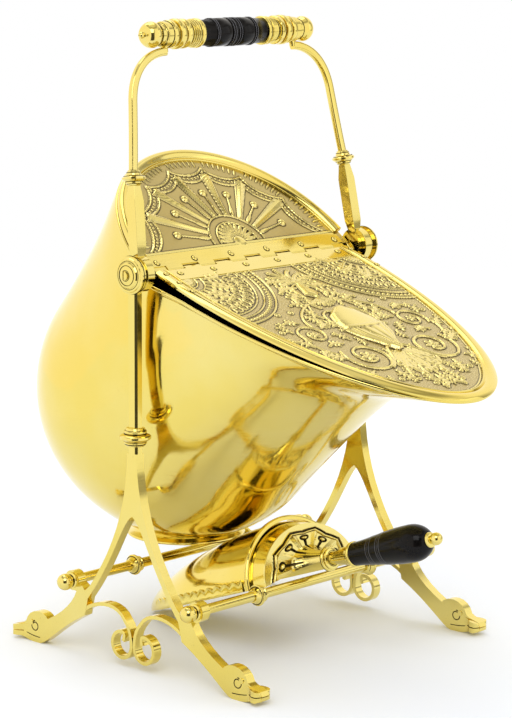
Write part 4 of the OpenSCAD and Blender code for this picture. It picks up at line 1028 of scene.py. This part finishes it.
def plate_relief(ray, share):
    """How far the back plate stands out, and its shade, at an angle and at a share of the way out."""
    place = ray * FAN_LOBES / math.pi
    corner = abs(place - round(place)) * 2
    outline = 0.85 - 0.10 * corner**0.75
    inner = share / outline
    proud = FAN_OUT * max(1 - share / 0.34, 0) ** 1.5
    shade = 0.8
    edge = share - outline
    # Painted shade in the sunk edge.
    if -0.02 < edge < 0.035:
        return -1.6, 0.02
    if edge >= 0.035:
        return 0.9 * max(1 - (edge - 0.035) / 0.03, 0) ** 2, shade
    if -0.075 < edge:
        return 1.7 * math.sin(math.pi * (edge + 0.075) / 0.055) ** 0.6, 0.9
    # Painted shade in the groove inside the edge ridge.
    if -0.095 < edge:
        return -0.6, 0.18
    across = (place - math.floor(place) - 0.5) * math.pi / FAN_LOBES
    aside = inner * math.sin(across)
    ball = math.hypot(inner * math.cos(across) - 0.74, aside)
    if ball < 0.062:
        return 2.8 * math.sqrt(1 - (ball / 0.062) ** 2), 0.85
    # Painted shade in the ring round each ball.
    if ball < 0.115:
        return -1.4, 0.02
    stem = 0.014 + 0.05 * (inner - 0.2)
    # Painted shade along each sunk stem.
    if 0.22 < inner < 0.66 and abs(aside) < stem:
        return proud - 1.5, 0.02
    # A little lighter on the ribs: painted highlight.
    rib = max(1 - abs(corner) * 3.0, 0) * (inner > 0.25)
    return proud + 1.8 * rib + 0.6 * math.sin(math.pi * min(inner, 1)), shade + 0.1 * rib


def make_scoop_plate():
    """Back plate: flat rim, scalloped sunk edge, balls on sunk stems between ribs, and the hub, with
    painted shade in the sunk places.
    """
    turns, steps = 421, 150
    points, shade = [], []
    for t in np.linspace(0, 1, steps):
        for a in np.linspace(0, math.pi, turns):
            proud, tone = plate_relief(a, t)
            points.append(((HUB_R + (SCOOP_HALF - HUB_R) * t) * math.cos(a), -0.2 - proud,
                           FAN_Z * (1 - t) + (HUB_R + (PLATE_H - HUB_R) * t) * math.sin(a)))
            shade.append(tone)
    count = len(points)
    number = np.arange(count).reshape(steps, turns)
    loop = np.concatenate([number[:, 0], number[-1, 1:], number[-2::-1, -1], number[0, -2:0:-1]])
    grid = np.array(grid_faces(steps, turns))
    after = np.roll(loop, -1)
    edge = np.stack([loop, after, after + count, loop + count], -1)
    faces = np.concatenate([grid, grid[:, ::-1] + count, edge]).tolist()
    points += [(x, PLATE_T, z) for x, _, z in points]
    plate = new_piece("scoop_back", points, faces, "shovel", "embossed", ["scoop_plate"], sharp=60)
    outward_faces(plate.data)
    paint_light_and_shade(plate, shade + [0.6] * count)


# ---- hinge and rivets


def make_hinge_seams():
    """Sheet of the rear panel that closes the hinge line from below, beside and beyond the knuckles."""
    near, far = HINGE_HALF + 0.3, REAR_REACH - 1
    y1, low, high = STRAP_AT + 0.1, -0.2, 1.1
    for end, x0, x1, y0 in (("", -HINGE_HALF, HINGE_HALF, KNUCKLE_R + 0.9), ("_left", -far, -near, -2.8),
                            ("_right", near, far, -2.8)):
        ring = [(y0, low), (y1, low), (y1, high), (y0, high)]
        sweep("hinge_seam" + end, [[(x, y, z) for y, z in ring] for x in (x0, x1)], "bucket")


def rivet_ring(name, x, y, z, body, radius=RIVET_R):
    """Painted shade: a dark ring round the foot of a rivet head."""
    ring = [(radius + 0.35 + SHADE_LINE_W * math.cos(s), 0.28 * math.sin(s)) for s in np.linspace(0, 5.5, 6)]
    rings = [[(x + r * math.cos(t), y + r * math.sin(t), z + h) for r, h in ring] for t in around(24)]
    sweep(name, rings, body, "engraved", caps=False)


def make_rivet_rings():
    """Rings of painted shade round the rivets on both straps and on the border of the lid."""
    for end, reach, y, body in (("rear", REAR_REACH, STRAP_AT + REAR_STRAP_W * 0.32, "bucket"),
                                ("front", FRONT_REACH, -STRAP_AT - FRONT_STRAP_W * 0.42, "lid")):
        for k in range(RIVETS):
            x = (2 * k / (RIVETS - 1) - 1) * (reach - RIVET_END)
            rivet_ring("%s_rivet_seam_%d" % (end, k + 1), x, y, KNUCKLE_R, body)
    for side, label in SIDES:
        for k in range(3):
            rivet_ring("border_rivet_seam_%s_%d" % (label, k + 1), side * (LID_HALF - BORDER_W / 2 - 0.4),
                       -BORDER_RIVET_AT - BORDER_PITCH * k, BASE + BORDER_H, "lid", RIVET_R * 0.8)


# ---- bail and turned pieces


def make_bows():
    """Bent upper bars of the bail with softly rounded edges, from the collars to the saddles."""
    start = np.array([JOINT_X, JOINT_V]) + BOW_START * towards(ARM_TILT + math.pi / 2)
    corner, saddle = (JOINT_X - 9.4, GRIP_V - 59), (SADDLE_X, GRIP_V - 15.7)
    path = np.concatenate([
        curve(start, start + [-2.4, 14], (JOINT_X - 7, GRIP_V - 78), corner, 14)[:-1],
        curve(corner, (JOINT_X - 13, GRIP_V - 32), (SADDLE_X + 26, GRIP_V - 16.5), saddle, 40)])
    along = unit(np.gradient(path, axis=0))
    turn = around(40)
    wide, deep = (size / 2 * np.sign(way) * np.abs(way) ** BOW_ROUND
                  for size, way in ((BOW_W, np.cos(turn)), (BOW_D, np.sin(turn))))
    for side, label in SIDES:
        rings = [[(side * (x - dz * w), d, z + dx * w) for w, d in zip(wide, deep)]
                 for (x, z), (dx, dz) in zip(path, along)]
        sweep("bow_" + label, rings, "bail", nodes=[label + "_bail_bow"], sharp=60)
        post = [[(side * SADDLE_X + STUD_R * math.cos(t), STUD_R * math.sin(t), z) for t in turn]
                for z in (GRIP_V - 16.5, GRIP_V - 11)]
        sweep("saddle_stud_" + label, post, "bail", sharp=60)


def turned(name, profile, place, body, finish, node, crests=()):
    """Turned piece about the X axis through a profile of (x, radius), with painted glints on the crests."""
    turn = around(96)
    rings = [[(x, r * math.cos(t), r * math.sin(t)) for t in turn] for x, r in profile]
    piece = sweep(name, rings, body, finish, [node], place, sharp=50)
    # Crest points carry the painted glints, all other points none.
    paint_light_and_shade(piece, [1.0 if abs(x) in crests else 0.0 for x, r in profile for t in turn])


def make_grip():
    """Black turned grip: a smooth waist on each side, two ribs at the quarters and two in the middle."""
    half = [(GRIP_HALF, 11.9), (28.4, 12.3), (27.9, 12.9)]
    for x in (27.0, 24.6):
        half += [(x + 0.4, 13.45), (x, 13.55), (x - 0.4, 13.45), (x - 0.8, 12.6)]
    half += [(23.2, 12.9), (22.6, 13.2), (15, 13.4), (8.2, 13.3), (7.6, 12.9), (7.3, 12.0), (6.5, 12.0),
             (6.2, 12.9)]
    for x in (5.4, 2.4):
        half += [(x + 0.4, 13.5), (x, 13.6), (x - 0.4, 13.5), (x - 1.0, 12.7)]
    profile = half + [(-x, r) for x, r in reversed(half)]
    turned("grip_turned", profile, IN_GRIP, "bail", "ebony", "black_grip", (27.0, 24.6, 5.4, 2.4))


def make_ferrule():
    """Flared brass ferrule of the shovel."""
    n = FERRULE_LEN
    ferrule = [(0.4, 11.6), (2.0, 11.9), (2.9, 11.2), (3.2, 9.6), (3.7, 9.6), (4.0, 10.4), (5.2, 10.5),
               (5.9, 9.6), (6.2, 6.6), (8, 6.2), (12, 6.5), (20, 8.1), (n - 5.6, 10.3), (n - 5.2, 9.9),
               (n - 4.7, 9.9), (n - 4.4, 10.6), (n - 2.4, 11.2), (n - 2.1, 12.1), (n - 0.4, 12.2),
               (n, 11.8)]
    turned("ferrule_turned", ferrule, IN_HANDLE, "shovel", "brass", "shovel_ferrule")


def make_handle():
    """Black pear-shaped handle of the shovel, with two groups of three fine rings that carry painted
    glints.
    """
    rings = (24.0, 26.5, 29.0, 38.0, 40.5, 43.0)
    spots = set(np.linspace(0, HANDLE_LEN, 60).round(3)) | {x + d for x in rings for d in (-0.4, 0, 0.4)}
    swell = []
    for x in sorted(spots):
        t = x / HANDLE_LEN
        if t < 0.78:
            r = HANDLE_START + (HANDLE_R - HANDLE_START) * math.sin(t / 0.78 * math.pi / 2) ** 1.6
        else:
            r = HANDLE_R * math.sqrt(max(1 - ((t - 0.78) / 0.235) ** 2, 0))
        swell.append((x + FERRULE_LEN, max(r + (0.1 if x in rings else 0), 5)))
    turned("handle_turned", swell, IN_HANDLE, "shovel", "ebony", "shovel_handle",
           [x + FERRULE_LEN for x in rings])


def groove_shade_rings(name, body, rings):
    """Painted shade in the grooves and gaps of turned pieces: dark rings of (frame, place along its X,
    radius).
    """
    verts, faces = [], []
    for place, x, radius in rings:
        turn = np.array(place)
        faces += [[len(verts) + k for k in face] for face in grid_faces(48, 6, True, True)]
        for t in around(48):
            for a in around(6):
                r = radius + SHADE_LINE_W * math.sin(a)
                local = np.array([x + SHADE_LINE_W * math.cos(a), r * math.cos(t), r * math.sin(t)])
                verts.append(turn[:3, :3] @ local + turn[:3, 3] / MM)
    outward_faces(new_piece(name, verts, faces, body, "engraved", place=IN_WORLD).data)


def make_groove_shade():
    """Painted shade in the grooves and gaps of the grip ends, collars, pivot caps, knops, finials and of
    the shovel's ferrule.
    """
    upright = rotation(-90, "Y")
    grip_end = [(5.2, 12.5), (16.2, 11.1), (24.7, 11.6), (34, 11.1), (40.9, 12.2), (47.8, 10.4),
                (53.2, 9.9)]
    grip_end += [(8.3 + 2.2 * k, 12.6 - 0.45 * k) for k in range(4)]
    arm_end = JOINT_V / math.cos(ARM_TILT)
    stand, bail = [], []
    for side in (-1, 1):
        bail += [(IN_GRIP, side * (GRIP_HALF + x), r) for x, r in grip_end]
        arm = IN_BAIL @ placed(side * BOSS_X, 0, 0, 0) @ Matrix.Rotation(-side * ARM_TILT, 4, "Y") @ upright
        bail += [(arm, arm_end + x, r) for x, r in ((-5.6, 6.6), (-3.5, 8.0), (1.5, 9.2), (4.8, 6.4))]
        pivot = placed(0, 0, PIVOT_Z, 0)
        stand += [(pivot, side * (FRAME_OUT + x), r)
                  for x, r in ((0.1, 17.5), (4.0, 13.2), (6.2, 9.2), (7.5, 4.9))]
        post = placed(side * FRAME_X, 0, COLLAR_Z, 0) @ upright
        stand += [(post, x, r) for x, r in ((-6.8, 9.5), (-3.7, 10.8), (2.9, 10.4), (6.2, 9.5))]
        for y in (-CROSSBAR_Y, CROSSBAR_Y):
            bar = placed(0, y, CROSSBAR_Z, 0)
            stand += [(bar, side * x, r)
                      for x, r in ((KNOP_X - 4, 6.7), (KNOP_X + 2, 8.5), (FRAME_OUT + 2.4, 6.0))]
    groove_shade_rings("stand_groove_shade", "stand", stand)
    groove_shade_rings("bail_groove_shade", "bail", bail)
    groove_shade_rings("shovel_groove_shade", "shovel", [(IN_HANDLE, x, r) for x, r in (
        (0.5, 11.6), (3.45, 9.7), (6.1, 7.4), (FERRULE_LEN - 4.95, 10.0), (FERRULE_LEN - 2.2, 11.5))])


# ---- feet


def engraved_line(name, path, x, width=0.55):
    """Dark line along a path in Y and Z, on a face of a side frame."""
    ring = [(0.6 * width * math.cos(t), width * math.sin(t)) for t in around(8)]
    rings = [[(x + out, y - dz * aside, z + dy * aside) for out, aside in ring]
             for (y, z), (dy, dz) in zip(path, unit(np.gradient(path, axis=0)))]
    sweep(name, rings, "stand", "engraved")


def make_feet():
    """Eye and mouth line of each beaked foot, on its outer and inner face."""
    eye = arc(EYE_Y, EYE_Z, np.linspace(3.4, 5.2, 36), 0.6, 7.8, 36)
    mouth = curve((EYE_Y - 6.5, 5.6), (EYE_Y, 5.6), (EYE_Y + 6, 6.2), (EYE_Y + 13, 7.8), 12)
    for side, label in SIDES:
        for face, outer in ((side, "outer"), (-side, "inner")):
            for way, end in ((-1, "front"), (1, "rear")):
                x = side * FRAME_X + face * FRAME_T / 2
                foot = "_%s_%s_%s" % (label, outer, end)
                engraved_line("eye" + foot, eye * [way, 1], x)
                engraved_line("mouth" + foot, mouth * [way, 1], x, 0.45)


# ---- the frame's nodes

CAST_BEVEL = 1.4
FINE_BEVEL = 0.3
FINISH = {"black_grip": "ebony", "shovel_handle": "ebony", "grip_tie_rod": "steel", "shovel_tang": "steel",
          "hinge_pin": "steel"}


def finish_frame():
    """Finish of every CAD node, and a finished copy of each that no piece stands for yet."""
    for name, node in frame["nodes"].items():
        finish = FINISH.get(name, "brass")
        bevel = CAST_BEVEL if name.endswith(("frame", "arm")) else FINE_BEVEL
        if name not in dressed:
            finished_copy(name, node["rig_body"], finish, bevel)
        slots = node.data.materials
        if not slots:
            slots.append(None)
        for k in range(len(slots)):
            slots[k] = MATERIALS[finish]


# ---- studio

# Ways that the polished metal sees dark: the photographer's corner and a card to its right
CAMERA_SIDE = (0.681, -0.732, 0.0)
CAMERA_WAY = (-0.732, -0.681, 0.0)
CARD_WAY = (0.80, -0.56, 0.22)
FLOOR_REACH = 2.6
FLOOR_FRONT = 0.62


def make_floor():
    """Plain white floor that fades into the white background and ends in front of the camera."""
    mesh = bpy.data.meshes.new("floor")
    corners = [(Vector(CAMERA_SIDE) * x + Vector(CAMERA_WAY) * y).to_tuple()
               for x, y in ((-FLOOR_REACH, -FLOOR_REACH), (-FLOOR_REACH, FLOOR_FRONT),
                            (FLOOR_REACH, FLOOR_FRONT), (FLOOR_REACH, -FLOOR_REACH))]
    mesh.from_pydata(corners, [], [(0, 1, 2, 3)])
    add_object("floor", mesh)
    n = material("floor_paper")
    distance = n.add("ShaderNodeVectorMath", {0: n.coords}, operation="LENGTH").outputs["Value"]
    fade = n.span(distance, 0.45, 0.95, 0, 1)
    glow = n.add("ShaderNodeEmission", Color=(1, 1, 1, 1), Strength=1.15)
    paper = n.add("ShaderNodeBsdfDiffuse", Color=(0.925, 0.95, 1.0, 1))
    mixed = n.add("ShaderNodeMixShader", {0: fade, 1: paper.outputs[0], 2: glow.outputs[0]})
    n.feed(n.tree.nodes["Material Output"].inputs["Surface"], mixed.outputs[0])
    mesh.materials.append(n.owner)


def make_world():
    """White room: plain fill light, white for the camera, with softly darker sides in the metal."""
    world = bpy.data.worlds.new("studio")
    bpy.context.scene.world = world
    n = Nodes(world)
    way = n.coords.node.outputs["Generated"]

    def along(axis):
        return n.add("ShaderNodeVectorMath", {0: way, 1: axis}, operation="DOT_PRODUCT").outputs["Value"]

    def greys(fac, *stops):
        return n.ramp(fac, *((position, (grey, grey * 0.98, grey * 0.95)) for position, grey in stops))

    def times(a, b):
        return n.mix(1.0, a, b, "MULTIPLY")

    up = n.add("ShaderNodeSeparateXYZ", {0: way}).outputs["Z"]
    overhead = greys(up, (0.0, 1.0), (0.70, 1.0), (0.86, 0.30), (0.95, 0.75))
    aside = n.add("ShaderNodeMath", {0: along(CAMERA_SIDE)}, operation="ABSOLUTE").outputs[0]
    strip = greys(aside, (0.32, 0.035), (0.46, 1.0))
    facing = greys(along(CAMERA_WAY), (0.62, 0.0), (0.74, 1.0))
    corner = n.mix(facing, (1, 1, 1), strip)
    card = greys(along(CARD_WAY), (0.80, 1.0), (0.94, 0.35))
    metal_sees = times(times(times(overhead, card), corner), (1.2, 1.2, 1.2))
    path = n.add("ShaderNodeLightPath").outputs
    glossy = n.add("ShaderNodeMath", {0: path["Is Glossy Ray"], 1: path["Is Transmission Ray"]},
                   operation="MAXIMUM").outputs[0]
    seen = n.mix(glossy, (0.92, 0.92, 0.93), metal_sees)
    final = n.mix(path["Is Camera Ray"], seen, (1, 1, 1))
    n.feed(n.tree.nodes["Background"].inputs["Color"], final)


def lamp(name, place, aim, size, power):
    """Soft square lamp at a place in metres, aimed at a point."""
    light = bpy.data.lights.new(name, "AREA")
    light.size = size
    light.energy = power
    turn = (Vector(aim) - Vector(place)).to_track_quat("-Z", "Y").to_matrix().to_4x4()
    add_object(name, light).matrix_world = Matrix.Translation(place) @ turn


# The photograph's view, found by matching its outlines
VIEW_AZIMUTH = -47.06
VIEW_HEIGHT = 9.86
VIEW_ROLL = 0.31
VIEW_DISTANCE = 2422.1
VIEW_OFFSET = (-3.8, -22.9)
VIEW_AIM_Z = 250.0
FOCAL_PX = 2529.9
IMAGE_PX = (512, 718)
SENSOR_MM = 36.0


def make_camera():
    """Pinhole camera of the photograph."""
    a, e, roll = (math.radians(v) for v in (VIEW_AZIMUTH, VIEW_HEIGHT, VIEW_ROLL))
    right = Vector((math.cos(a), math.sin(a), 0))
    back = Vector((math.sin(a) * math.cos(e), -math.cos(a) * math.cos(e), math.sin(e)))
    up = back.cross(right)
    right, up = (math.cos(roll) * right + math.sin(roll) * up, math.cos(roll) * up - math.sin(roll) * right)
    place = back * VIEW_DISTANCE - right * VIEW_OFFSET[0] - up * VIEW_OFFSET[1]
    place = (place + Vector((0, 0, VIEW_AIM_Z))) * MM
    data = bpy.data.cameras.new("photo_view")
    data.sensor_width = SENSOR_MM
    data.lens = FOCAL_PX / max(IMAGE_PX) * SENSOR_MM
    data.clip_start = 0.05
    camera = add_object("photo_view", data)
    axes = Matrix((right, up, back)).transposed().to_4x4()
    camera.matrix_world = Matrix.Translation(place) @ axes
    bpy.context.scene.camera = camera


make_bucket()
make_hood_band()
hood_relief()
make_lid_border()
lid_relief()
make_scoop()
make_hoop()
make_strips()
make_scoop_plate()
make_hinge_seams()
make_rivet_rings()
make_feet()
make_bows()
make_grip()
make_ferrule()
make_handle()
make_groove_shade()
finish_frame()

make_floor()
make_world()
lamp("key", (-1.6, -1.2, 1.9), (0, 0, 0.25), 1.3, 15)
lamp("fill", (1.5, -1.7, 1.1), (0, 0, 0.3), 1.6, 6)
lamp("top", (0.3, 0.9, 2.4), (0, 0, 0.2), 1.4, 10)
make_camera()
bpy.context.scene.view_settings.view_transform = "Standard"
